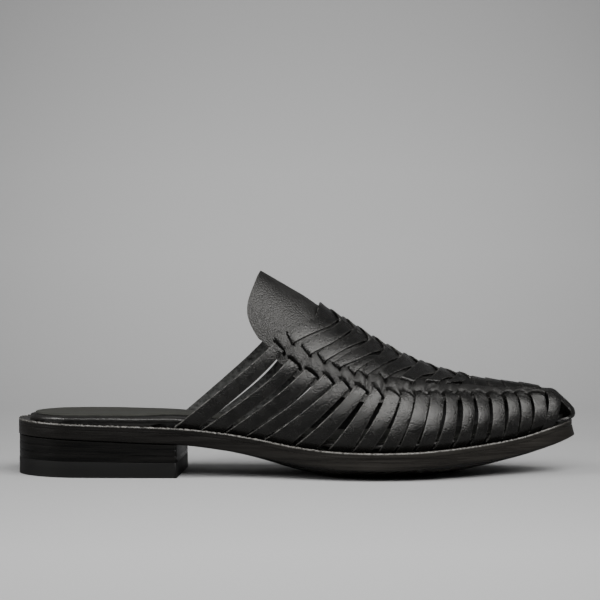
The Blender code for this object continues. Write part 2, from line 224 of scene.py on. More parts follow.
def wrapSheet(name, us, vs, pointAt, flip=False):
    # a grid whose u lines run to the toe and v lines run over the foot, laid where pointAt says
    us, vs = np.asarray(us, float), np.asarray(vs, float)
    piece = addGrid(name, len(us), len(vs))
    column, row = gridPlaces(piece, len(us), len(vs))
    u, v = us[column], vs[row]
    setPoints(piece, pointAt(u, v))
    if flip:
        piece.data.flip_normals()
    return piece, u, v


def applyModifiers(piece):
    pick(piece)
    for modifier in list(piece.modifiers):
        bpy.ops.object.modifier_apply(modifier=modifier.name)


def thicken(piece, thick, edge, segments=2, angle=50):
    wall = piece.modifiers.new("wall", "SOLIDIFY")
    wall.thickness = thick * 0.001
    wall.material_offset = 1
    wall.offset = -1.0
    wall.use_even_offset = True
    wall.use_quality_normals = True
    if edge:
        rounding = piece.modifiers.new("rounding", "BEVEL")
        rounding.width = edge * 0.001
        rounding.segments = segments
        rounding.limit_method = "ANGLE"
        rounding.angle_limit = math.radians(angle)
    applyModifiers(piece)
    smooth(piece)


def smooth(piece, angle=42):
    pick(piece)
    bpy.ops.object.shade_smooth_by_angle(angle=math.radians(angle))


def dress(piece, *materials):
    # the first finish is the outside, the second the flesh side
    for material in materials:
        piece.data.materials.append(material)


def settle(piece, slotName, *nodes):
    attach(piece, "root")
    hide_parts(*nodes)


def settleLeather(piece, finishes, outside, thick, edge):
    dress(piece, finishes[outside], finishes["fleshSide"])
    thicken(piece, thick, edge)
    settle(piece, "upper_leather", "upper")


def feed(tree, socket, value):
    # a socket takes another node's output, or a number or colour of its own
    if isinstance(value, bpy.types.NodeSocket):
        tree.links.new(value, socket)
    elif socket.type == "RGBA":
        socket.default_value = (*value, 1.0)
    else:
        socket.default_value = value


def addNode(tree, kind, values=None, **settings):
    node = tree.nodes.new(kind)
    for name, value in settings.items():
        setattr(node, name, value)
    for name, value in (values or {}).items():
        feed(tree, node.inputs[name], value)
    return node


def calculate(tree, operation, *values, clamp=False):
    values = dict(enumerate(values))
    return addNode(tree, "ShaderNodeMath", values, operation=operation, use_clamp=clamp).outputs[0]


def addNoise(tree, place, scale, detail, rough):
    values = {"Vector": place, "Scale": scale, "Detail": detail, "Roughness": rough}
    return addNode(tree, "ShaderNodeTexNoise", values).outputs["Fac"]


def stretch(tree, value, low, high):
    # the part of a value between low and high, spread over 0 to 1
    values = {"Value": value, "From Min": low, "From Max": high}
    return addNode(tree, "ShaderNodeMapRange", values).outputs["Result"]


def spread(tree, value, low, high):
    # a 0 to 1 value brought between two others
    values = {"Value": value, "To Min": low, "To Max": high}
    return addNode(tree, "ShaderNodeMapRange", values).outputs["Result"]


def mixColours(tree, factor, first, second, blend="MIX"):
    values = {0: factor, 6: first, 7: second}
    return addNode(tree, "ShaderNodeMix", values, data_type="RGBA", blend_type=blend).outputs[2]


def objectPlace(tree):
    return addNode(tree, "ShaderNodeTexCoord").outputs["Object"]


def newGroup(name, inputs, outputs):
    group = bpy.data.node_groups.new(name, "ShaderNodeTree")
    for label, value in inputs.items():
        socket = group.interface.new_socket(label, in_out="INPUT", socket_type="NodeSocketFloat")
        socket.default_value = value
    for label in outputs:
        group.interface.new_socket(label, in_out="OUTPUT", socket_type="NodeSocketFloat")
    source = group.nodes.new("NodeGroupInput")
    target = group.nodes.new("NodeGroupOutput")
    return group, source.outputs, target.inputs


def placeGroup(tree, group, **values):
    return addNode(tree, "ShaderNodeGroup", values, node_tree=group).outputs


def makeGrainGroup():
    # pebbled skin: small rounded cells with fine creases between them, broken by a softer roll
    inputs = {"Cell": 1100.0, "Crease": 0.5, "Roll": 0.4, "Patch": 170.0}
    group, source, target = newGroup("leatherGrain", inputs, ("Height", "Tone"))
    place = objectPlace(group)
    values = {"Vector": place, "Scale": source["Cell"], "Smoothness": 0.35, "Randomness": 0.9}
    cells = addNode(group, "ShaderNodeTexVoronoi", values, feature="SMOOTH_F1").outputs["Distance"]
    fine = calculate(group, "MULTIPLY", addNoise(group, place, 2600.0, 3.0, 0.6), 0.4)
    roll = addNoise(group, place, source["Patch"], 3.0, 0.55)
    domes = calculate(group, "MULTIPLY", calculate(group, "MULTIPLY", cells, -1.0), source["Crease"])
    rolls = calculate(group, "MULTIPLY", roll, source["Roll"])
    coarse = calculate(group, "ADD", domes, rolls)
    feed(group, target["Height"], calculate(group, "ADD", coarse, fine))
    feed(group, target["Tone"], stretch(group, roll, 0.3, 0.7))
    return group


def makePaleEdgeGroup():
    # how pale the edges turn: the piece's own edge value, broken by noise; mostly rubbed-off finish, but on the
    # side straps' rear edges and the welt's rim partly a painted highlight
    group, source, target = newGroup("paleEdges", {"Amount": 0.5, "Break": 350.0}, ("Mask",))
    edge = addNode(group, "ShaderNodeAttribute", attribute_name="edge").outputs["Fac"]
    patchy = stretch(group, addNoise(group, objectPlace(group), source["Break"], 4.0, 0.65), 0.38, 0.62)
    rubAndHighlight = calculate(group, "MULTIPLY", edge, patchy)
    feed(group, target["Mask"], calculate(group, "MULTIPLY", rubAndHighlight, source["Amount"], clamp=True))
    return group


def makeStreakGroup():
    # long streaks that run round a burnished sole edge, with fine fibres
    group, source, target = newGroup("edgeStreaks", {"Layer": 420.0, "Fibre": 1900.0}, ("Streak", "Height"))
    place = objectPlace(group)
    drawnOut = addNode(group, "ShaderNodeMapping", {"Vector": place, "Scale": (0.05, 0.05, 1.0)})
    streak = addNoise(group, drawnOut.outputs["Vector"], source["Layer"], 4.0, 0.6)
    streak = stretch(group, streak, 0.34, 0.66)
    fibres = calculate(group, "MULTIPLY", addNoise(group, place, source["Fibre"], 3.0, 0.6), 0.35)
    feed(group, target["Streak"], streak)
    feed(group, target["Height"], calculate(group, "ADD", streak, fibres))
    return group


def newMaterial(name):
    material = bpy.data.materials.new(name)
    material.use_nodes = True
    return material, material.node_tree, material.node_tree.nodes["Principled BSDF"]


def finishShader(tree, shader, look, tone, height, body, edgePaling):
    # what leather and sole finishes have in common
    # edges mix toward the pale edge colour: rubbed finish, and on some edges painted highlight
    feed(tree, shader.inputs["Base Color"], mixColours(tree, edgePaling["Mask"], body, look["paleEdge"]))
    feed(tree, shader.inputs["Roughness"], spread(tree, tone, look["smooth"], look["rough"]))
    values = {"Strength": look["bump"], "Distance": look["depth"], "Height": height}
    feed(tree, shader.inputs["Normal"], addNode(tree, "ShaderNodeBump", values).outputs["Normal"])
    shader.inputs["Specular IOR Level"].default_value = look["specular"]


leatherLooks = {
    "plugLeather": {
        "dark": (0.0062, 0.006, 0.0057), "light": (0.0115, 0.0112, 0.0105), "paleEdge": (0.045, 0.043, 0.040),
        "cell": 1500.0, "crease": 1.9, "roll": 0.12, "patch": 170.0, "bump": 0.6, "depth": 0.00022,
        "smooth": 0.34, "rough": 0.46, "edgePaling": 0.5, "specular": 0.5},
    # the straps' pale edge colour is rubbed finish and also a painted highlight on their rear edges
    "strapLeather": {
        "dark": (0.003, 0.003, 0.0029), "light": (0.0062, 0.006, 0.0057), "paleEdge": (0.115, 0.112, 0.105),
        "cell": 1450.0, "crease": 1.45, "roll": 0.35, "patch": 170.0, "bump": 0.64, "depth": 0.00016,
        "smooth": 0.22, "rough": 0.31, "edgePaling": 1.4, "specular": 0.5},
    "fleshSide": {
        "dark": (0.006, 0.0062, 0.006), "light": (0.085, 0.086, 0.083), "paleEdge": (0.09, 0.088, 0.082),
        "cell": 1900.0, "crease": 0.9, "roll": 0.6, "patch": 620.0, "bump": 0.6, "depth": 0.0003,
        "smooth": 0.6, "rough": 0.8, "edgePaling": 0.4, "specular": 0.3},
    "insoleWrap": {
        "dark": (0.005, 0.005, 0.0048), "light": (0.012, 0.0115, 0.011), "paleEdge": (0.07, 0.068, 0.062),
        "cell": 900.0, "crease": 0.9, "roll": 0.6, "patch": 170.0, "bump": 0.45, "depth": 0.0003,
        "smooth": 0.26, "rough": 0.42, "edgePaling": 0.4, "specular": 0.55},
    "sockLeather": {
        "dark": (0.023, 0.0235, 0.020), "light": (0.032, 0.0325, 0.028), "paleEdge": (0.06, 0.06, 0.055),
        "cell": 1300.0, "crease": 0.4, "roll": 0.3, "patch": 170.0, "bump": 0.25, "depth": 0.00012,
        "smooth": 0.54, "rough": 0.66, "edgePaling": 0.35, "specular": 0.35},
}
leatherTint = (1.0, 0.985, 0.955, 1.0)


def makeLeather(name, groups):
    look = leatherLooks[name]
    material, tree, shader = newMaterial(name)
    grain = placeGroup(tree, groups["grain"], Cell=look["cell"], Crease=look["crease"], Roll=look["roll"],
                       Patch=look["patch"])
    edgePaling = placeGroup(tree, groups["edgePaling"], Amount=look["edgePaling"])
    body = mixColours(tree, grain["Tone"], look["dark"], look["light"])
    finishShader(tree, shader, look, grain["Tone"], grain["Height"], body, edgePaling)
    shader.inputs["Specular Tint"].default_value = leatherTint
    return material


soleLooks = {
    # the pale edge colour is rubbed finish and also paints a highlight along the welt's rim
    "soleEdge": {
        "dark": (0.0025, 0.0021, 0.0018), "light": (0.0088, 0.008, 0.0071), "paleEdge": (0.16, 0.154, 0.142),
        "paleDark": (0.0055, 0.0048, 0.0042), "paleLight": (0.023, 0.0208, 0.0178),
        "layer": 420.0, "fibre": 1900.0, "break": 800.0, "bump": 0.3, "depth": 0.00022,
        "smooth": 0.22, "rough": 0.34, "edgePaling": 1.5, "specular": 0.3},
    "liftEdge": {
        "dark": (0.0018, 0.0018, 0.0017), "light": (0.005, 0.0047, 0.0042), "paleEdge": (0.03, 0.028, 0.025),
        "layer": 600.0, "fibre": 1900.0, "break": 800.0, "bump": 0.3, "depth": 0.0002,
        "smooth": 0.24, "rough": 0.36, "edgePaling": 0.7, "specular": 0.2},
    "topLiftRubber": {
        "dark": (0.0055, 0.0055, 0.0052), "light": (0.009, 0.009, 0.0086), "paleEdge": (0.05, 0.047, 0.042),
        "layer": 90.0, "fibre": 2400.0, "break": 800.0, "bump": 0.25, "depth": 0.00015,
        "smooth": 0.42, "rough": 0.55, "edgePaling": 0.5, "specular": 0.2},
}


def makeSoleFinish(name, groups):
    look = soleLooks[name]
    material, tree, shader = newMaterial(name)
    streaks = placeGroup(tree, groups["streaks"], Layer=look["layer"], Fibre=look["fibre"])
    edgePaling = placeGroup(tree, groups["edgePaling"], Amount=look["edgePaling"], Break=look["break"])
    body = mixColours(tree, streaks["Streak"], look["dark"], look["light"])
    if "paleDark" in look:
        # the edge turns paler along the forefoot
        paleShare = addNode(tree, "ShaderNodeAttribute", attribute_name="paleShare").outputs["Fac"]
        pale = mixColours(tree, streaks["Streak"], look["paleDark"], look["paleLight"])
        body = mixColours(tree, paleShare, body, pale)
    finishShader(tree, shader, look, streaks["Streak"], streaks["Height"], body, edgePaling)
    return material


def makeFinishes():
    groups = {"grain": makeGrainGroup(), "edgePaling": makePaleEdgeGroup(), "streaks": makeStreakGroup()}
    finishes = {name: makeLeather(name, groups) for name in leatherLooks}
    finishes.update({name: makeSoleFinish(name, groups) for name in soleLooks})
    print("finishes made:", len(finishes))
    return finishes


def closedLoft(name, sections):
    # rings of points joined into one closed body; the first and last rings are capped
    rings = np.array(sections, float)
    count, around = rings.shape[0], rings.shape[1]
    piece = addGrid(name, count, around + 1)
    column, row = gridPlaces(piece, count, around + 1)
    setPoints(piece, rings[column, row % around])
    pick(piece)
    bpy.ops.object.mode_set(mode="EDIT")
    bpy.ops.mesh.select_all(action="SELECT")
    bpy.ops.mesh.remove_doubles(threshold=0.00001)
    bpy.ops.mesh.select_all(action="SELECT")
    bpy.ops.mesh.fill_holes(sides=0)
    bpy.ops.mesh.select_all(action="SELECT")
    bpy.ops.mesh.normals_make_consistent(inside=False)
    bpy.ops.object.mode_set(mode="OBJECT")
    return piece


def endStations(start, end, count, tip=0.12):
    angles = np.linspace(0, math.pi, count)
    return np.clip(start + (end - start) * (1 - np.cos(angles)) / 2, start + tip, end - tip)


def bothSides(x, half, *limits):
    # one half profile for each side, joined into a ring; limits are halfWidth's inset, start and end
    ring = []
    for side in (1, -1):
        points = [(x, side * y, z) for y, z in half(halfWidth(x, side, *limits), side)]
        ring += points if side > 0 else points[::-1]
    return ring


def placesAlong(piece):
    # a piece's points in millimetres, x from the back of the heel
    spots = np.array([vertex.co for vertex in piece.data.vertices]) * 1000
    spots[:, 0] += shoe["length"] / 2
    return spots


soleSizes = {"stations": 260, "inset": 0.12, "swell": 1.6, "flat": 0.45, "edgeRound": 0.9, "wallBulge": 0.12,
             "seam": 0.02, "tipLean": 1.3, "leanFrom": 252, "leanTo": 270, "smoothAngle": 35}
paling = {"from": 90, "to": 190, "tipFrom": 248, "tipTo": 268, "tipShare": 0.6}


def paleAlong(x):
    # paler along the forefoot and darker again toward the tip
    tip = smoothStep(x, paling["tipFrom"], paling["tipTo"])
    return smoothStep(x, paling["from"], paling["to"]) * (1 - paling["tipShare"] * tip)


def outsoleSection(x):
    top = readTable(soleTable, "top", x) - shoe["weltThick"] - soleSizes["seam"]
    edge, middle = readTable(soleTable, "edge", x), readTable(soleTable, "middle", x)
    inner = halfWidth(x, 1, soleSizes["inset"])
    ease, flat = min(soleSizes["edgeRound"], 0.2 * inner), soleSizes["flat"]

    def half(wide, side):
        base = wide - soleSizes["wallBulge"]
        bulge = soleSizes["wallBulge"] * min(1, inner / 6)
        points = [(base + bulge * 4 * share * (1 - share), top + (edge + ease - top) * share)
                  for share in (0.0, 0.15, 0.35, 0.6, 0.82, 1.0)]
        points += [(base - ease * (1 - math.cos(turn)), edge + ease * (1 - math.sin(turn)))
                   for turn in (0.5, 1.0, math.pi / 2)]
        for share in (0.9, 0.78, 0.66, 0.55, flat, 0.2):
            rise = max((share - flat) / (1 - flat), 0) ** soleSizes["swell"]
            points.append((wide * share, middle + (edge - middle) * rise))
        return points

    # the edge slants back toward the welt round the toe
    lean = soleSizes["tipLean"] * smoothStep(x, soleSizes["leanFrom"], soleSizes["leanTo"])
    ring = bothSides(x, half, soleSizes["inset"])
    return [(px - lean * np.clip((z - edge) / (top - edge), 0, 1), y, z) for px, y, z in ring]


# the rim stands up along the welt's edge, pricked, rubbed bare and painted with a broken highlight along its
# top
weltSizes = {"stations": 420, "round": 0.5, "rimWide": 1.0, "rimHigh": 0.3, "rimRough": 0.26, "heelRough": 0.8,
             "heelEnd": 60, "roughTo": 150, "heelRubAndHighlight": 0.85, "rubAndHighlightTo": 170, "tipRubAndHighlight": 0.8, "tipFrom": 257,
             "tipTo": 266, "smoothAngle": 50}


def roughLine(x, side, seed, coarse=1.0):
    # uneven pricking along an edge, built from a few waves that never line up
    waves = ((2.1, 0.9), (3.7, 0.7), (5.3, 0.6), (8.9, 0.5), (13.1, 0.4))
    total = sum(size * np.sin(x * rate / coarse + seed * 1.7 + side * 2.3 + rate) for rate, size in waves)
    return total / sum(size for rate, size in waves)


def weltSection(x):
    top = readTable(soleTable, "top", x)
    bottom = top - shoe["weltThick"]
    pricked = 1 + weltSizes["heelRough"] * (1 - smoothStep(x, weltSizes["heelEnd"], weltSizes["roughTo"]))

    def half(wide, side):
        r = min(weltSizes["round"], 0.2 * wide)
        rough = weltSizes["rimRough"] * pricked * roughLine(x, side, 1) * min(1, wide / 8)
        rim = weltSizes["rimHigh"] + rough
        rimWide = weltSizes["rimWide"]
        return [(wide - min(4.5, 0.5 * wide), top), (wide - min(rimWide + 0.5, 0.32 * wide), top),
                (wide - min(rimWide, 0.26 * wide), top + 0.6 * rim), (wide - 1.4 * r, top + rim),
                (wide - 0.5 * r, top + 0.7 * rim), (wide + 0.4 * rough, top - 0.5 * r),
                (wide + 0.3 * rough, top - r), (wide - 0.05, top - 1.1), (wide - 0.12, top - 1.45),
                (wide, top - 1.8), (wide - 0.1, bottom + 0.2), (wide - 0.25, bottom)]

    return bothSides(x, half, 0.0, 0.0, shoe["weltEnd"])


def makeSole(finishes):
    stations = endStations(0.0, shoe["length"], soleSizes["stations"])
    outsole = closedLoft("outsoleLeather", [outsoleSection(float(x)) for x in stations])
    setValue(outsole, "edge", np.zeros(len(outsole.data.vertices)))
    setValue(outsole, "paleShare", paleAlong(placesAlong(outsole)[:, 0]))
    smooth(outsole, soleSizes["smoothAngle"])
    dress(outsole, finishes["soleEdge"])
    settle(outsole, "sole_leather", "outsole")
    stations = endStations(0.0, shoe["weltEnd"], weltSizes["stations"])
    welt = closedLoft("weltLeather", [weltSection(float(x)) for x in stations])
    x, y, z = placesAlong(welt).T
    y = y - shoe["sideShift"]
    outer, inner = [halfWidth(x, side, 0.0, 0.0, shoe["weltEnd"]) for side in (-1, 1)]
    inward = np.where(y < 0, outer, inner) - np.abs(y)
    rim = smoothStep(z - readTable(soleTable, "top", x), -0.55, -0.05) * smoothStep(inward, 1.7, 0.9)
    fore = smoothStep(x, weltSizes["heelEnd"], weltSizes["rubAndHighlightTo"])
    tip = smoothStep(x, weltSizes["tipFrom"], weltSizes["tipTo"])
    # the rim's paleness is rubbed finish and painted highlight, a little less at the heel and almost none at
    # the tip
    rubAndHighlight = weltSizes["heelRubAndHighlight"] + (1 - weltSizes["heelRubAndHighlight"]) * fore
    setValue(welt, "edge", rim * rubAndHighlight * (1 - weltSizes["tipRubAndHighlight"] * tip))
    setValue(welt, "paleShare", paleAlong(x))
    smooth(welt, weltSizes["smoothAngle"])
    dress(welt, finishes["soleEdge"])
    settle(welt, "sole_leather", "welt")
    print("sole made")


liftRows = (
    # name, node, bottom, its fall, top, its fall, inset
    ("topLiftRubber", "top_lift", 0.0, 0.0, 7.98, 0.010, 0.28),
    ("heelLiftLower", "heel_lift_lower", 8.02, 0.010, 11.80, 0.017, 0.36),
    ("heelLiftMiddle", "heel_lift_middle", 11.84, 0.017, 15.50, 0.026, 0.34),
    ("heelLiftUpper", "heel_lift_upper", 15.54, 0.026, 19.0, 0.043, 0.38),
)
heelSizes = {"breastOuter": 78.6, "breastInner": 81.6, "arc": 46, "cornerRound": 1.2, "edgeRound": 0.11,
             "middleAt": 40.0, "smoothAngle": 40}


def heelOutline(inset):
    # round the back from the outer breast corner to the inner one, then back along the breast
    points = []
    share = 1 - np.cos(math.pi / 2 * np.linspace(0, 1, heelSizes["arc"] + 1))
    for side, breast in ((-1, heelSizes["breastOuter"]), (1, heelSizes["breastInner"])):
        x = np.maximum(inset + (breast - heelSizes["cornerRound"] - inset) * share, inset + 0.1)
        run = list(zip(x, side * halfWidth(x, side, inset, inset)))
        for turn in (0.5, 1.0, math.pi / 2):
            r = heelSizes["cornerRound"]
            cornerX = breast - r + r * math.sin(turn)
            wide = float(halfWidth(breast, side, inset, inset))
            run.append((cornerX, side * (wide - r * (1 - math.cos(turn)))))
        points += run[::-1] if side < 0 else run
    return points


def makeHeel(finishes):
    r, hub = heelSizes["edgeRound"], heelSizes["middleAt"]
    for name, node, bottom, bottomFall, top, topFall, inset in liftRows:
        outline, tight = heelOutline(inset), heelOutline(inset + r)
        middle = [(hub + (x - hub) * 0.5, y * 0.5) for x, y in tight]
        levels = ((middle, 0, 0.0), (tight, 0, 0.0), (outline, 0, r), (outline, 0.5, 0.0), (outline, 1, -r),
                  (tight, 1, 0.0), (middle, 1, 0.0))
        rings = []
        for ring, share, lift in levels:
            rings.append([(x, y, (bottom - bottomFall * x) * (1 - share) + (top - topFall * x) * share + lift)
                          for x, y in ring])
        piece = closedLoft(name, rings)
        setValue(piece, "edge", np.zeros(len(piece.data.vertices)))
        smooth(piece, heelSizes["smoothAngle"])
        rubber = node == "top_lift"
        dress(piece, finishes["topLiftRubber" if rubber else "liftEdge"])
        settle(piece, "heel_rubber" if rubber else "sole_leather", node)
    print("heel made")


footbed = {"start": 5.6, "end": 266.4, "inset": 4.95, "foreInset": 2.0, "rise": 4.7, "shoulder": 1.6,
           "stations": 300, "wrinkle": 0.12, "bulge": 0.55, "sockInset": 2.6, "sockThick": 0.7,
           "waistRise": 0.9, "waistInset": 7.0, "waistShoulder": 2.2, "dish": 0.5, "dishAt": 30,
           "dishLong": 22, "smoothAngle": 60}
heelFall = smoothTable(("drop",), (
    (5.6, 2.7), (7.2, 2.1), (9, 1.7), (13.4, 1.4), (21, 0.95), (39, 0.25), (52, 0), (272, 0)))


def footbedTop(x):
    waist = smoothStep(x, 52, 80) * smoothStep(x, 130, 100)
    rise = footbed["rise"] - readTable(heelFall, "drop", x) + footbed["waistRise"] * waist
    return readTable(soleTable, "top", x) + rise, waist


def footbedInset(x):
    # the board keeps clear of the straps' gaps
    return footbed["inset"] + footbed["foreInset"] * smoothStep(x, 98, 122)


def insoleSection(x):
    base = readTable(soleTable, "top", x)
    rim = base + 0.1 + 2.0 * np.clip((x - 64) / 8, 0, 1)
    top, waist = footbedTop(x)

    def half(wide, side):
        shoulder = min(footbed["shoulder"] + footbed["waistShoulder"] * waist, 0.3 * wide)
        crease = footbed["wrinkle"] * roughLine(x, side, 5, 2.2) * min(1, wide / 10)
        bulge = footbed["bulge"] * min(1, wide / 10)
        return [(wide * 0.5, top), (wide - 2.6 * shoulder, top - 0.05), (wide - 1.9 * shoulder, top - 0.9),
                (wide - 1.3 * shoulder, top - 0.55), (wide - 0.7 * shoulder, top - 0.5),
                (wide - 0.1 * shoulder, top - 0.8), (wide + bulge + crease * 0.5, top - 1.5),
                (wide + bulge + crease, top - 2.1), (wide + 0.6 * bulge - crease * 0.7, top - 2.8),
                (wide - 0.25 + crease * 0.4, 0.4 * top + 0.6 * rim),
                (wide - 0.5, rim), (wide - min(4, 0.6 * wide), rim)]

    return bothSides(x, half, footbedInset(x), footbed["start"], footbed["end"])


def sockPoint(u, v):
    # thin lining that stops a little short of the wrapped edge
    start, end = footbed["start"] + footbed["sockInset"], footbed["end"] - footbed["sockInset"]
    x = np.clip(start + (end - start) * (1 - np.cos(math.pi * u)) / 2, start + 0.1, end - 0.1)
    top, waist = footbedTop(x)
    inset = footbedInset(x) + footbed["sockInset"] + footbed["waistInset"] * waist
    left = -halfWidth(x, -1, inset, start, end)
    right = halfWidth(x, 1, inset, start, end)
    y = left + (right - left) * v
    reach = offMiddle(v)
    z = top + footbed["sockThick"] - 0.9 * smoothStep(reach, 0.86, 1.08)
    z = z - footbed["dish"] * np.exp(-((x - footbed["dishAt"]) / footbed["dishLong"]) ** 2) * (1 - reach ** 2)
    return np.stack([x, y, z], axis=-1)


def makeFootbed(finishes):
    stations = endStations(footbed["start"], footbed["end"], footbed["stations"])
    wrap = closedLoft("insoleWrap", [insoleSection(float(x)) for x in stations])
    setValue(wrap, "edge", np.zeros(len(wrap.data.vertices)))
    smooth(wrap, footbed["smoothAngle"])
    dress(wrap, finishes["insoleWrap"])
    settle(wrap, "insole_leather", "insole")
    sides = np.concatenate([[0, 0.008, 0.02], np.linspace(0.05, 0.95, 23), [0.98, 0.992, 1]])
    sock, u, v = wrapSheet("sockLining", np.linspace(0, 1, 120), sides, sockPoint)
    setValue(sock, "edge", smoothStep(offMiddle(v), 0.97, 1.0))
    dress(sock, finishes["sockLeather"])
    thicken(sock, footbed["sockThick"], 0.2)
    settle(sock, "insole_leather", "insole")
    print("footbed made")


leather = {"strapThick": 0.9, "clear": 0.05, "plugDrop": 0.85, "dropFrom": 138.0, "dropTo": 151.0}

# side straps: rear edge foot, top, bow and rise, then the same of the front edge
strapRows = (
    (77.5, 125.8, 4.8, 0.227, 88.5, 129.4, 4.3, 0.211),
    (90.5, 132.8, 4.9, 0.202, 100.4, 137.1, 3.3, 0.189),
    (101.9, 140.6, 3.5, 0.192, 110.5, 145.4, 3.6, 0.182),
    (111.7, 149.4, 3.8, 0.199, 119.5, 153.1, 2.7, 0.180),
    (120.4, 157.1, 3.0, 0.201, 132.8, 160.9, 1.3, 0.179),
    (134.9, 164.4, 3.0, 0.199, 145.4, 169.0, 2.2, 0.188),
    (150.6, 172.7, 2.4, 0.216, 161.9, 176.4, 0.7, 0.187),
    (162.3, 179.5, 2.4, 0.223, 170.7, 184.9, 2.2, 0.205),
    (174.8, 186.2, 1.9, 0.234, 181.7, 191.6, 2.3, 0.224),
    (183.3, 192.8, 1.9, 0.250, 190.8, 199.0, 1.9, 0.242),
    (192.6, 200.1, 1.4, 0.269, 199.5, 206.2, 1.9, 0.259),
    (201.1, 206.6, 2.7, 0.281, 209.0, 212.6, 1.7, 0.274),
    (211.1, 213.4, 2.9, 0.298, 217.6, 220.0, 2.1, 0.285),
    (219.7, 220.6, 2.5, 0.308, 225.4, 227.5, 2.0, 0.291),
    (227.3, 228.2, 2.4, 0.312, 234.4, 235.0, 1.6, 0.290),
    (235.2, 235.9, 2.3, 0.316, 241.8, 242.0, 1.7, 0.299),
    (242.6, 241.9, 2.0, 0.332, 247.9, 247.6, 2.1, 0.306),
    (248.4, 248.5, 2.5, 0.328, 256.6, 256.4, 0.6, 0.312),
)
# how far the inner side's straps lie behind the outer ones: rear edge at its foot and top, then the front edge
innerLags = (
    (1.4, 3.5, 1.3, 3.0), (-0.7, 2.5, 0.4, 2.5), (0.8, 3.8, 1.3, 3.8), (1.3, 3.2, 1.5, 3.2),
    (1.2, 2.8, 1.2, 2.8), (1.1, 2.1, 1.1, 2.1), (1.1, 1.5, 1.2, 1.5), (0.4, 0.8, 0.4, 0.8),
    (0.2, 0.4, 0.2, 0.4), (0.1, 0.2, 0.1, 0.2),
)
strapSizes = {"edge": 0.28, "turnIn": 4.5, "footTuck": 1.5, "tuckLong": 4.6, "crown": 0.30, "lean": 0.35,
              "corner": 0.3, "domed": 1.3, "slitAhead": 0.52, "endRound": 0.75, "dive": 3.2,
              "liftFrom": 26.0, "liftTo": 5.0, "rubFront": 0.25, "rearRubAndRimLess": 0.75}


def bowed(foot, top, bow, t):
    # a straight run that bows toward the toe, most at its middle
    return foot + (top - foot) * t + bow * 4 * t * (1 - t)


def plugDrop(x):
    # the plug sinks under the weave ahead of the tongue
    return leather["plugDrop"] * smoothStep(x, leather["dropFrom"], leather["dropTo"])


def strapEdgeAt(index, front, t, side):
    row = strapRows[index]
    foot, top, bow, rise = row[4:8] if front else row[0:4]
    inside = np.clip(t, 0, 1)
    x = bowed(foot, top, bow, inside) + np.maximum(t - 1, 0) * (top - foot - 4 * bow)
    across = rise * np.maximum(t, 0)
    if side > 0:
        lags = innerLags[index] if index < len(innerLags) else (0.0, 0.0, 0.0, 0.0)
        low, high = lags[2:4] if front else lags[0:2]
        x = x - low - (high - low) * inside
        across = 1 - across
    return x, across


def strapLength(index):
    # length of a strap's middle from its foot to its slit
    t = np.linspace(0, 1, 25)
    rear, front = strapEdgeAt(index, False, t, -1), strapEdgeAt(index, True, t, -1)
    points = lastPoint((rear[0] + front[0]) / 2, (rear[1] + front[1]) / 2)
    return float(np.linalg.norm(np.diff(points, axis=0), axis=1).sum())


def strapWave(v, seed):
    # hand-cut unevenness along a strap
    return 0.16 * np.sin(5.1 * v + seed * 1.9) + 0.09 * np.sin(11.3 * v + seed * 3.1)


def endCorner(index):
    # how far a strap's end falls away at its corners: square ends at the back, domed ones ahead
    return strapSizes["corner"] + strapSizes["domed"] * smoothStep(index, 6, 10)


def strapEndLine(index, side):
    # the slit that a strap's end goes into, a little beyond it
    length, line = strapLength(index), []
    for u in (0.0, 0.12, 0.3, 0.7, 0.88, 1.0):
        t = np.array(1 + (strapSizes["slitAhead"] - endCorner(index) * offMiddle(u) ** 4) / length)
        rear, front = strapEdgeAt(index, False, t, side), strapEdgeAt(index, True, t, side)
        line.append(tuple(float(rear[i] * (1 - u) + front[i] * u) for i in (0, 1)))
    return line


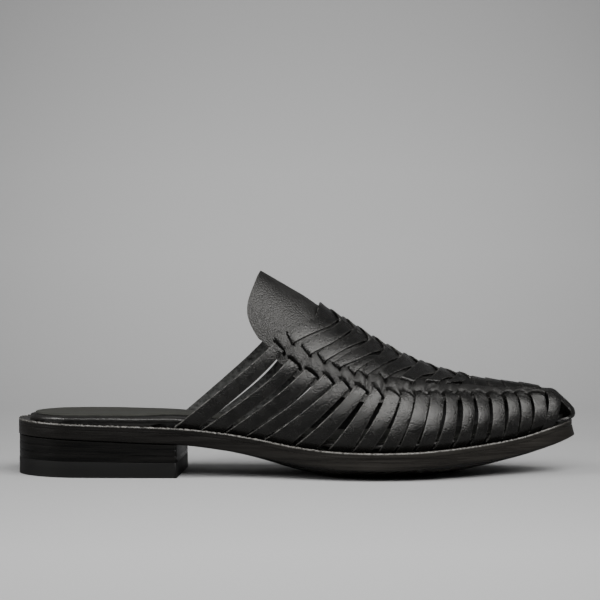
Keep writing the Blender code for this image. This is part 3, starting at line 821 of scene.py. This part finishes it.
def sideStrap(index, side, finishes):
    sizes, length, cornerDrop = strapSizes, strapLength(index), endCorner(index)
    start = [-1.0, -0.45, -0.12, 0.0] + [d / length for d in (0.25, 0.8, 1.5, 2.4, 3.4)]
    body = list(np.linspace(sizes["tuckLong"] / length, 1 - 4.0 / length, 25))
    end = (-3.0, -2.2, -1.6, -1.2, -0.9, -0.65, -0.45, -0.25, -0.1, 0.02, 0.14, 0.26, 0.4, 0.6, 1.2, 3.0)
    ways = start + body + [1 + d / length for d in end]
    widths = [0, 0.07, 0.17, 0.33, 0.5, 0.67, 0.83, 0.93, 1]

    def pointAt(u, v):
        shown = np.clip(v, 0, None)
        rearX, rearA = strapEdgeAt(index, False, shown, side)
        frontX, frontA = strapEdgeAt(index, True, shown, side)
        x = rearX + (frontX - rearX) * u
        across = rearA + (frontA - rearA) * u
        left = (1 - shown) * length
        run = shown * length
        beforeEnd = smoothStep(left, 0.5, 5.0)
        corner = cornerDrop * offMiddle(u) ** 4
        crown = sizes["crown"] * (1 - offMiddle(u) ** 2) * smoothStep(run, 0.0, 6.0)
        over = leather["strapThick"] + leather["clear"] - plugDrop(x)
        over = over * smoothStep(left, sizes["liftFrom"], sizes["liftTo"])
        lean = sizes["lean"] * (1 - 2 * u) * smoothStep(run, 2.0, 10.0) * beforeEnd
        tuck = sizes["footTuck"] * np.clip(1 - run / sizes["tuckLong"], 0, 1) ** 2
        fall = np.clip((sizes["endRound"] + corner - left) / sizes["endRound"], 0, 1)
        dive = roundOver(fall, sizes["endRound"]) + sizes["dive"] * smoothStep(corner - left, 0.0, 0.5)
        height = over + crown + lean - tuck + strapWave(shown, index) * beforeEnd - dive
        points = shellPoint(x, np.clip(across, 0, 1), height)
        tucked = v < 0
        inward = side * (featherWidth(x, side) - sizes["footTuck"] + v * sizes["turnIn"])
        points[tucked, 1] = inward[tucked]
        points[tucked, 2] = (readTable(soleTable, "top", x) + 0.12)[tucked]
        return points

    name = "sideStrap_%s_%02d" % (sideNames[side], index + 1)
    piece, u, v = wrapSheet(name, widths, ways, pointAt, flip=side > 0)
    # rear edges are painted paler: rubbed finish and a painted highlight where they catch the light, weaker on
    # the straps ahead; front edges only a little rubbed
    rearRubAndRim = 1 - sizes["rearRubAndRimLess"] * smoothStep(index, 5, 9)
    paleEdge = rearRubAndRim * smoothStep(u, 0.07, 0.0) + sizes["rubFront"] * smoothStep(u, 0.93, 1.0)
    setValue(piece, "edge", paleEdge)
    settleLeather(piece, finishes, "strapLeather", leather["strapThick"], sizes["edge"])


# chevrons: the rear edge from its slit up to the ridge, then the front edge; each point is an x and a way
# across the last
chevronNames = ("A", "B", "C", "D", "E", "F", "G", "H", "I", "J")
chevronRows = (
    (((131.8, 0.266), (139.4, 0.326), (144.7, 0.372), (146.0, 0.436), (146.9, 0.5)),
     ((134.2, 0.244), (143.2, 0.300), (151.9, 0.369), (155.9, 0.430), (157.6, 0.5))),
    (((138.9, 0.251), (145.6, 0.303), (155.3, 0.395), (157.3, 0.442), (158.1, 0.5)),
     ((142.3, 0.233), (152.8, 0.302), (157.6, 0.347), (163.2, 0.430), (165.0, 0.5))),
    (((146.4, 0.251), (154.2, 0.309), (159.1, 0.353), (162.6, 0.406), (165.5, 0.5)),
     ((149.2, 0.232), (157.5, 0.290), (167.3, 0.378), (170.8, 0.435), (172.4, 0.5))),
    (((153.7, 0.241), (162.4, 0.310), (167.3, 0.360), (171.1, 0.420), (173.0, 0.5)),
     ((156.5, 0.233), (165.2, 0.286), (172.0, 0.346), (177.8, 0.414), (180.0, 0.5))),
    (((161.1, 0.248), (167.1, 0.294), (171.0, 0.329), (177.9, 0.375), (181.2, 0.5)),
     ((163.5, 0.235), (168.0, 0.275), (175.5, 0.340), (182.0, 0.395), (186.0, 0.5))),
    (((167.2, 0.250), (171.9, 0.317), (175.4, 0.352), (178.8, 0.431), (179.7, 0.5)),
     ((169.4, 0.243), (175.7, 0.299), (183.2, 0.382), (186.6, 0.440), (187.8, 0.5))),
    (((175.9, 0.277), (180.6, 0.339), (184.8, 0.393), (186.6, 0.436), (188.0, 0.5)),
     ((178.5, 0.259), (183.3, 0.305), (189.4, 0.363), (195.4, 0.438), (197.0, 0.5))),
    (((185.7, 0.292), (190.9, 0.369), (193.6, 0.414), (196.3, 0.5)),
     ((191.9, 0.290), (196.6, 0.348), (202.3, 0.398), (206.5, 0.5))),
    (((198.1, 0.324), (202.2, 0.381), (204.5, 0.433), (206.0, 0.5)),
     ((204.5, 0.337), (208.5, 0.385), (213.7, 0.422), (216.0, 0.5))),
    (((208.3, 0.347), (212.1, 0.398), (213.9, 0.440), (215.0, 0.5)),
     ((209.7, 0.344), (212.8, 0.364), (216.5, 0.381), (221.0, 0.5))),
)
# how far on the inner side's chevron crosses the ridge
ridgeShift = (6.1, 2.4, 1.6, 1.7, 1.5, 2.5, 4.0, 5.2, 4.5, 2.0)
chevronSizes = {"ridgeAt": 0.8, "under": 0.16, "tailAcross": 0.075, "tailAhead": 3.6, "length": 24.0,
                "thick": 0.55, "edge": 0.17, "flankRear": 0.04, "flankFront": 0.34, "crestTop": 1.12,
                "crestDrop": 0.95, "crown": 0.12, "tailDrop": 1.6, "lastShow": 0.8, "hidden": 0.45,
                "hiddenIndex": 4, "endRound": 0.7, "dive": 2.6}


def chevronEdges(index, row, side):
    # both edges as tables along the strap: 0 at its slit, ridgeAt on the ridge, 1 at its tucked tail
    shift = ridgeShift[index] if side > 0 else 0.0
    ridgeAt, under = chevronSizes["ridgeAt"], chevronSizes["under"]
    edges = []
    for line in row:
        flat = np.array([surfaceMm(x, a) for x, a in line])
        run = np.concatenate([[0], np.cumsum(np.hypot(*np.diff(flat, axis=0).T))])
        share = run / run[-1]
        rows = [(ridgeAt * s, x + shift * s, a) for s, (x, a) in zip(share, line)]
        back = under / rows[1][0]
        lead = tuple(rows[0][i] - back * (rows[1][i] - rows[0][i]) for i in (1, 2))
        tail = [(ridgeAt + (1 - ridgeAt) * k, rows[-1][1] + chevronSizes["tailAhead"] * k,
                 0.5 + chevronSizes["tailAcross"] * k) for k in (0.5, 1.0, 1.15)]
        edges.append(smoothTable(("x", "a"), [(-under, *lead)] + rows + tail))
    return edges


def chevronShow(index, side):
    # how much of a chevron the next one leaves bare on the ridge
    rears = []
    for i, row in enumerate(chevronRows):
        rears += [row[0][-1][0], row[0][-1][0] + ridgeShift[i]]
    here = rears[2 * index + (1 if side > 0 else 0)]
    ahead = [x for i, x in enumerate(rears) if x > here + 0.3 and i // 2 != chevronSizes["hiddenIndex"]]
    return min(ahead) - here if ahead else chevronSizes["lastShow"]


def chevron(index, row, side, finishes):
    sizes = chevronSizes
    rear, front = chevronEdges(index, row, side)
    show = chevronShow(index, side)
    wide = row[1][-1][0] - row[0][-1][0]
    buried = sizes["hidden"] if index == sizes["hiddenIndex"] else 0.0
    widths = [0, 0.05, 0.13, 0.25, 0.38, 0.5, 0.62, 0.75, 0.87, 0.95, 1]
    ways = [-sizes["under"], -0.08, -0.04, -0.025, -0.014, -0.006, 0.0, 0.006, 0.013, 0.021, 0.03, 0.045, 0.07]
    ways += list(np.linspace(0.1, 0.95, 30)) + [0.965, 0.98, 0.995, 1.01, 1.03]

    def pointAt(u, v):
        x = readTable(rear, "x", v) * (1 - u) + readTable(front, "x", v) * u
        across = readTable(rear, "a", v) * (1 - u) + readTable(front, "a", v) * u
        rest = leather["strapThick"] + leather["clear"] - plugDrop(x)
        out = v * sizes["length"]
        fall = np.clip((sizes["endRound"] - out) / sizes["endRound"], 0, 1)
        sunk = roundOver(fall, sizes["endRound"]) + sizes["dive"] * smoothStep(-out, 0.0, 0.6)
        ridge = smoothStep(across, 0.345, 0.445)
        flank = sizes["flankRear"] + (sizes["flankFront"] - sizes["flankRear"]) * u
        far = u * wide
        crest = sizes["crestTop"] - sizes["crestDrop"] * np.clip(far / show, 0, 1) ** 0.8
        crest = crest - 0.5 * np.clip(far - show, 0, None) / wide - buried
        crown = sizes["crown"] * (1 - offMiddle(u) ** 2) + 0.3 * strapWave(v, index + 5)
        tail = sizes["tailDrop"] * smoothStep(v, 0.965, 1.01)
        height = rest + flank * (1 - ridge) + crest * ridge + crown - sunk - tail
        if side > 0:
            across = 1 - across
        return shellPoint(x, across, height)

    name = "chevron_%s_%s" % (sideNames[side], chevronNames[index])
    piece, u, v = wrapSheet(name, widths, ways, pointAt, flip=side > 0)
    setValue(piece, "edge", 0.4 * smoothStep(offMiddle(u), 0.88, 1.0))
    settleLeather(piece, finishes, "strapLeather", sizes["thick"], sizes["edge"])


# front bands: where each one's rear edge crosses the ridge, how far its ends lie ahead, and its front edge
frontBands = (
    (215.4, 1.1, 224.0), (221.6, 0.9, 231.0), (228.2, 1.6, 238.6), (235.8, 2.2, 247.0), (244.6, 1.6, 254.6))

bandSizes = {"thick": 0.55, "edge": 0.17, "lift": 0.42, "slope": 0.55, "under": 0.25}


def frontBand(index, start, ahead, end, finishes):
    widths = [0, 0.06, 0.15, 0.33, 0.5, 0.67, 0.85, 0.94, 1]
    ways = np.linspace(0.345, 0.655, 49)

    def pointAt(u, v):
        off = np.abs(v - 0.5)
        x = start + (end - start) * u + ahead * smoothStep(off, 0.0, 0.15)
        height = leather["strapThick"] - plugDrop(x) + bandSizes["lift"] - bandSizes["slope"] * u
        height = height + 0.4 * strapWave(v * 4, index + 3)
        sunk = -leather["plugDrop"] - bandSizes["under"]
        fade = smoothStep(off, 0.055, 0.145)
        return shellPoint(x, v, height * (1 - fade) + sunk * fade)

    piece, u, v = wrapSheet("frontBand_%d" % (index + 1), widths, ways, pointAt)
    setValue(piece, "edge", 0.2 * smoothStep(offMiddle(u), 0.9, 1.0))
    settleLeather(piece, finishes, "strapLeather", bandSizes["thick"], bandSizes["edge"])


tongueTable = smoothTable(("back",), (
    (0.0, 118.2), (0.06, 115.2), (0.13, 113.1), (0.2, 112.2), (0.28, 112.4), (0.36, 113.2), (0.45, 114.3),
    (0.6, 116.0), (0.8, 117.6), (1.0, 118.7)))
plugSizes = {"columns": 345, "front": 256.6, "thick": 1.3, "edge": 0.4, "tongueFoot": 0.217,
             "tongueAt": 116.0, "cornerCut": 9.0, "skirt": 0.036, "skirtDrop": 0.9, "spineLow": 0.3,
             "spineLump": 0.8, "lip": 0.3, "lipAway": 1.5, "lipWide": 0.45, "creases": 9}
# what the woven straps press into the plug: lines, depth, half width and steepness
plugDents = (("low", 2.3, 0.92, 4), ("high", 1.5, 0.7, 4), ("hollow", 1.2, 1.3, 4), ("crease", 0.75, 0.8, 2))
slitLow = smoothTable(("way",), (
    (110, 0.219), (127.5, 0.219), (135, 0.197), (143, 0.188), (151, 0.189), (158.4, 0.190), (166.8, 0.191),
    (175, 0.204), (182.3, 0.216), (188.8, 0.230), (195.8, 0.247), (203, 0.264), (210, 0.281), (217, 0.295),
    (224, 0.305), (232, 0.316), (238.5, 0.327), (245, 0.337), (252, 0.333), (262, 0.340)))
slitHigh = smoothTable(("way",), (
    (110, 0.262), (130, 0.262), (133.5, 0.257), (141, 0.242), (148, 0.242), (155, 0.246), (162, 0.246),
    (168.4, 0.259), (177, 0.271), (189, 0.304), (200.5, 0.344), (209, 0.372), (220, 0.372), (235, 0.380),
    (253, 0.385), (262, 0.385)))


def plugAcross(x, line):
    # lines 0 to 3: lower edge, slits, upper slits and ridge; 3 to 6 mirror them
    folded = np.minimum(line, 6 - line)
    low, high = readTable(slitLow, "way", x), readTable(slitHigh, "way", x)
    marks = [low - plugSizes["skirt"], low, high, np.full_like(x, 0.5)]
    across = np.zeros_like(x)
    for i in range(3):
        here = (folded >= i) & (folded <= i + 1)
        across = np.where(here, marks[i] + (marks[i + 1] - marks[i]) * (folded - i), across)
    return np.where(line > 3, 1 - across, across)


def lineDistance(x, across, lines):
    # how far each place lies from the nearest of some lines, measured over the last
    px, py = surfaceMm(x, across)
    nearest = np.full_like(x, 99.0)
    for line in lines:
        for start, end in zip(line[:-1], line[1:]):
            ax, ay = surfaceMm(*start)
            bx, by = surfaceMm(*end)
            dx, dy = bx - ax, by - ay
            t = np.clip(((px - ax) * dx + (py - ay) * dy) / (dx * dx + dy * dy), 0, 1)
            nearest = np.minimum(nearest, np.hypot(px - ax - t * dx, py - ay - t * dy))
    return nearest


def slitLines():
    # the side straps' slits, the chevrons' slits, the hollows ahead of the chevrons' upper corners, and the
    # creases that cross the spine from a strap's end to a chevron's
    lines = {"low": [], "high": [], "hollow": [], "crease": []}
    for side in (-1, 1):
        ends = [strapEndLine(index, side) for index in range(len(strapRows))]
        lines["low"] += ends
        for index, (rear, front) in enumerate(chevronRows):
            shift = ridgeShift[index] if side > 0 else 0.0
            slit = [rear[0], front[0]]
            corner = [(front[i][0] + 0.5 + share * shift, front[i][1]) for i, share in ((-3, 0.5), (-2, 0.8))]
            if side > 0:
                slit = [(x, 1 - a) for x, a in slit]
                corner = [(x, 1 - a) for x, a in corner]
            lines["high"].append(slit)
            lines["hollow"].append(corner)
            if index < plugSizes["creases"]:
                lines["crease"].append([ends[index][-1], slit[1]])
    return lines


def makePlug(finishes):
    lines = slitLines()
    close = (0.0, 0.02, 0.045, 0.08, 0.13, 0.2)
    first = [0, 0.04, 0.14, 0.3, 0.45, 0.6, 0.72] + [1 - c * 1.1 for c in reversed(close)]
    second = [1 + c for c in close[1:]] + [1.32, 1.45, 1.58, 1.7] + [2 - c for c in reversed(close)]
    third = [2 + c * 0.6 for c in close[1:]] + list(np.linspace(2.18, 3, 14))
    half = first + second + third
    steps = half + [6 - v for v in reversed(half[:-1])]

    def pointAt(u, v):
        folded = np.minimum(v, 6 - v)
        # the tongue's rim, by how far round the plug each line lies there
        foot, lineAt = plugSizes["tongueFoot"], np.full_like(u, plugSizes["tongueAt"])
        way = np.clip((plugAcross(lineAt, v) - foot) / (1 - 2 * foot), 0, 1)
        cut = plugSizes["cornerCut"] * np.clip(1 - folded, 0, 1) ** 0.7
        back = readTable(tongueTable, "back", 2 * np.minimum(way, 1 - way)) + cut
        x = back + (plugSizes["front"] - back) * u
        across = plugAcross(x, v)
        spine = np.clip(folded - 1, 0, 1)
        hump = np.sin(math.pi * spine) ** 0.8 * np.where((folded > 1) & (folded < 2), 1, 0)
        lump = 0.5 + 0.5 * np.cos(2 * math.pi * strapPhase(x))
        spineRise = hump * (plugSizes["spineLow"] + plugSizes["spineLump"] * lump) * smoothStep(x, 120, 132)
        height = spineRise - plugDrop(x) - plugSizes["skirtDrop"] * smoothStep(folded, 0.9, 0.0)
        away = {name: lineDistance(x, across, lines[name]) for name in lines}
        for name, deep, wide, steep in plugDents:
            height = height - deep * np.exp(-(away[name] / wide) ** steep)
        # the plug bulges a little round the front slits
        lip = np.exp(-((away["low"] - plugSizes["lipAway"]) / plugSizes["lipWide"]) ** 2)
        return shellPoint(x, across, height + plugSizes["lip"] * lip * smoothStep(x, 196, 212))

    piece, u, v = wrapSheet("plugAndTongue", np.linspace(0, 1, plugSizes["columns"]), steps, pointAt)
    rim = np.maximum(smoothStep(u, 0.006, 0.0), smoothStep(np.minimum(v, 6 - v), 0.08, 0.0))
    setValue(piece, "edge", rim)
    settleLeather(piece, finishes, "plugLeather", plugSizes["thick"], plugSizes["edge"])


def strapPhase(x):
    # counts along the side straps, whole at the middle of each one's top
    middles = [(row[1] + row[5]) / 2 for row in strapRows]
    return np.interp(x, middles, np.arange(len(middles)))


noseTable = smoothTable(("x", "z"), (
    (0.0, 264.6, 38.2), (0.2, 267.0, 36.1), (0.42, 270.2, 33.0), (0.6, 272.1, 30.3), (0.73, 272.4, 28.2),
    (0.86, 271.0, 26.2), (1.0, 267.4, 25.3)))
noseDrop = smoothTable(("share",), ((0, 1.0), (0.2, 0.72), (0.42, 0.36), (0.6, 0.1), (0.75, 0.0), (1.0, 0.0)))
toeSizes = {"crownStart": 252.6, "topWay": 0.286, "innerWay": 0.665, "columns": 14, "noseColumns": 18,
            "rows": 56, "noseHalf": 6.4, "noseRound": 9.0, "noseRear": 264.4, "innerEnd": 270.2,
            "innerLift": 0.06, "crownSink": 0.95, "underGap": 0.9, "underFrom": 264.8, "thick": 1.1,
            "edge": 0.35}
# the nose's under line that the inner side closes to: x and z
noseUnder = ((264.6, 266.8, 269.6, 271.3), (38.2, 36.0, 33.0, 30.4))
# rear and front edge on the sides: foot, top, bow and rise
toeRear = (254.4, 257.5, 2.2, 0.344)
toeFront = (260.8, 264.4, 1.4, 0.335)


def toeEdges(across):
    # rear and front edge of the toe piece along one way over the last
    folded = np.minimum(across, 1 - across)
    rear, front = [bowed(*edge[:3], np.clip(folded / edge[3], 0, 1)) for edge in (toeRear, toeFront)]
    rear = rear + (toeSizes["crownStart"] - rear) * smoothStep(folded, 0.345, 0.385)
    return rear, front + (toeSizes["innerEnd"] - front) * smoothStep(across, toeSizes["innerWay"], 0.74)


def toePoint(across, along):
    # along 0 to 1 lies on the last, 1 to 2 runs down the nose
    rear, front = toeEdges(across)
    x = rear + (front - rear) * np.clip(along, 0, 1)
    sink = smoothStep(x, 262, 256) * smoothStep(np.minimum(across, 1 - across), 0.36, 0.42)
    inward = toeSizes["innerLift"] * smoothStep(x, 264.2, 265.6) * (across > 0.6)
    points = shellPoint(x, 0.5 + (across - 0.5) * (1 - inward), -toeSizes["crownSink"] * sink)
    # the inner side closes under the nose
    under = np.interp(x, *noseUnder) - toeSizes["underGap"]
    tucked = (across > toeSizes["innerWay"]) & (x > toeSizes["underFrom"])
    points[:, 2] = np.where(tucked, np.minimum(points[:, 2], under), points[:, 2])
    way = np.clip(along - 1, 0, 1)
    crown = shellPoint(front, across, np.zeros_like(front))
    rearX, half, turnRadius = np.array([toeSizes["noseRear"]]), toeSizes["noseHalf"], toeSizes["noseRound"]
    ridge = lastPoint(rearX, np.array([0.5]))[0]
    widest = abs(lastPoint(rearX, np.array([toeSizes["topWay"]]))[0][1])
    drop = (ridge[2] - crown[:, 2]) * readTable(noseDrop, "share", way)
    y = crown[:, 1] * (widest + (half - widest) * smoothStep(way, 0.1, 0.6)) / widest
    # the strip follows the round of the toe as seen from above
    turn = np.clip(y / turnRadius, -0.92, 0.92)
    back = 0.25 * drop * way + turnRadius * (1 - np.sqrt(1 - turn ** 2)) * smoothStep(way, 0.05, 0.6)
    nose = [readTable(noseTable, "x", way) - back, y, readTable(noseTable, "z", way) - drop]
    ease = smoothStep(along, 1.0, 1.12)[:, None]
    return np.where((along > 1)[:, None], np.stack(nose, axis=-1) * ease + crown * (1 - ease), points)


def makeToePiece(finishes):
    crown, nose, rows = toeSizes["columns"], toeSizes["noseColumns"], toeSizes["rows"]
    columns = crown + nose + 1
    piece = addGrid("toePiece", columns, rows + 1)
    column, row = gridPlaces(piece, columns, rows + 1)
    across = row / rows
    along = np.where(column <= crown, column / crown, 1 + (column - crown) / nose)
    setPoints(piece, toePoint(across, along))
    # the nose is a strip: what lies beside it below the crown is cut away
    shown = (across > toeSizes["topWay"] - 0.001) & (across < toeSizes["innerWay"])
    cutAway = (column > crown) & ~shown
    pick(piece)
    bpy.ops.object.mode_set(mode="EDIT")
    bpy.ops.mesh.select_mode(type="VERT")
    bpy.ops.mesh.select_all(action="DESELECT")
    bpy.ops.object.mode_set(mode="OBJECT")
    piece.data.vertices.foreach_set("select", cutAway)
    bpy.ops.object.mode_set(mode="EDIT")
    bpy.ops.mesh.delete(type="VERT")
    bpy.ops.object.mode_set(mode="OBJECT")
    setValue(piece, "edge", np.zeros(len(piece.data.vertices)))
    settleLeather(piece, finishes, "strapLeather", toeSizes["thick"], toeSizes["edge"])


def makeUpper(finishes):
    makePlug(finishes)
    for side in (-1, 1):
        for index in range(len(strapRows)):
            sideStrap(index, side, finishes)
        for index, row in enumerate(chevronRows):
            chevron(index, row, side, finishes)
    for index, (start, ahead, end) in enumerate(frontBands):
        frontBand(index, start, ahead, end, finishes)
    makeToePiece(finishes)
    print("upper made")


stage = {"floorFront": -2.6, "sweepStart": 0.15, "sweepRadius": 0.38, "wallTop": 1.1,
         "halfWide": 2.6, "rows": 140,
         "paper": ((-0.4, 0.385), (-0.28, 0.435), (-0.03, 0.415), (0.15, 0.375), (0.25, 0.30), (0.34, 0.318),
                   (0.5, 0.342), (0.6, 0.33), (0.78, 0.26)),
         "sides": 5.4, "sidesLeast": 0.55, "behind": 0.40, "ambient": 0.10, "mirrored": (0.34, 0.36),
         "mirrorTop": 0.3, "lampAim": (0.0, 0.0, 0.03), "flecks": (0.985, 1.015), "rough": 0.9, "specular": 0.2}


def makeStage():
    piece = addGrid("paperSweep", 3, stage["rows"] + 1)
    column, row = gridPlaces(piece, 3, stage["rows"] + 1)
    flat, bend = stage["sweepStart"] - stage["floorFront"], stage["sweepRadius"] * math.pi / 2
    run = row / stage["rows"] * (flat + bend + stage["wallTop"])
    turn = np.clip((run - flat) / stage["sweepRadius"], 0, math.pi / 2)
    y = stage["floorFront"] + np.minimum(run, flat) + stage["sweepRadius"] * np.sin(turn)
    z = stage["sweepRadius"] * (1 - np.cos(turn)) + np.maximum(run - flat - bend, 0)
    x = (column - 1) * stage["halfWide"]
    points = np.stack([x, y, z], axis=-1)
    piece.data.vertices.foreach_set("co", points.astype(np.float32).ravel())
    smooth(piece, 60)
    material, tree, shader = newMaterial("paperGrey")
    place = objectPlace(tree)
    axes = addNode(tree, "ShaderNodeSeparateXYZ", {"Vector": place}).outputs
    # the light falls off along the floor, up the wall and toward both sides
    first, last = stage["paper"][0][0], stage["paper"][-1][0]
    along = stretch(tree, calculate(tree, "ADD", axes["Y"], axes["Z"]), first, last)
    ramp = addNode(tree, "ShaderNodeValToRGB", {"Fac": along})
    stops = ramp.color_ramp.elements
    for i, (spot, tone) in enumerate(stage["paper"]):
        position = (spot - first) / (last - first)
        stop = stops[0] if i == 0 else stops[-1] if i == len(stage["paper"]) - 1 else stops.new(position)
        stop.position = position
        stop.color = (tone, tone, tone, 1.0)
    sideways = calculate(tree, "MULTIPLY", axes["X"], axes["X"])
    fall = calculate(tree, "MULTIPLY_ADD", sideways, -stage["sides"], 1.0)
    least = calculate(tree, "MAXIMUM", fall, stage["sidesLeast"])
    pooled = mixColours(tree, 1.0, ramp.outputs["Color"], least, "MULTIPLY")
    darkFleck, lightFleck = stage["flecks"]
    fleck = mixColours(tree, addNoise(tree, place, 900.0, 2.0, 0.5), (darkFleck,) * 3, (lightFleck,) * 3)
    tint = mixColours(tree, 1.0, pooled, fleck, "MULTIPLY")
    # gloss on the shoe meets a dimmer paper than the eye does, as it would in a flagged studio
    glossy = addNode(tree, "ShaderNodeLightPath").outputs["Is Glossy Ray"]
    dimmer = spread(tree, axes["Z"], *stage["mirrored"])
    dimmer.node.inputs["From Max"].default_value = stage["mirrorTop"]
    feed(tree, shader.inputs["Base Color"], mixColours(tree, glossy, tint, dimmer, "MULTIPLY"))
    shader.inputs["Roughness"].default_value = stage["rough"]
    shader.inputs["Specular IOR Level"].default_value = stage["specular"]
    # the paper's back lets the view through, so the shoe can be looked at from behind it
    clear = addNode(tree, "ShaderNodeBsdfTransparent").outputs["BSDF"]
    behind = addNode(tree, "ShaderNodeNewGeometry").outputs["Backfacing"]
    through = addNode(tree, "ShaderNodeMixShader", {0: behind, 1: shader.outputs["BSDF"], 2: clear})
    feed(tree, tree.nodes["Material Output"].inputs["Surface"], through.outputs[0])
    piece.data.materials.append(material)


lamps = {
    # name: turn toward the toe, height angle, distance, size, energy
    "keySoftbox": (30.0, 42.5, 1.35, (2.5, 0.70), 35.5),
    "upperSoftbox": (42.0, 64.0, 1.5, (1.0, 0.36), 6.5),
    "heelSoftbox": (-72.0, 30.0, 1.5, (0.6, 0.9), 17.0),
}


def makeLamps():
    aim = Vector(stage["lampAim"])
    for name, (turn, rise, distance, size, energy) in lamps.items():
        data = bpy.data.lights.new(name, "AREA")
        data.shape = "RECTANGLE"
        data.size, data.size_y = size
        data.energy = energy
        lamp = bpy.data.objects.new(name, data)
        bpy.context.scene.collection.objects.link(lamp)
        turn, rise = math.radians(turn), math.radians(rise)
        away = Vector((math.sin(turn) * math.cos(rise), -math.cos(turn) * math.cos(rise), math.sin(rise)))
        lamp.location = aim + away * distance
        lamp.rotation_euler = (-away).to_track_quat("-Z", "Y").to_euler()
        lamp.visible_camera = False
    world = bpy.data.worlds.new("studio")
    bpy.context.scene.world = world
    world.use_nodes = True
    tree = world.node_tree
    light = tree.nodes["Background"]
    light.inputs["Color"].default_value = (1.0, 1.0, 1.0, 1.0)
    seen = addNode(tree, "ShaderNodeLightPath").outputs["Is Camera Ray"]
    feed(tree, light.inputs["Strength"], spread(tree, seen, stage["ambient"], stage["behind"]))


view = {"place": (0.00156, -1.2434, 0.1363), "tilt": 87.603, "lens": 153.5, "sensor": 36.0, "nearest": 0.05}


def makeCamera():
    data = bpy.data.cameras.new("sideCamera")
    data.lens = view["lens"]
    data.sensor_width = view["sensor"]
    data.clip_start = view["nearest"]
    camera = bpy.data.objects.new("sideCamera", data)
    bpy.context.scene.collection.objects.link(camera)
    camera.location = view["place"]
    camera.rotation_euler = (math.radians(view["tilt"]), 0.0, 0.0)
    bpy.context.scene.camera = camera


makeCamera()
makeStage()
makeLamps()
print("camera, stage and lamps made")
finishes = makeFinishes()
makeSole(finishes)
makeHeel(finishes)
makeFootbed(finishes)
makeUpper(finishes)
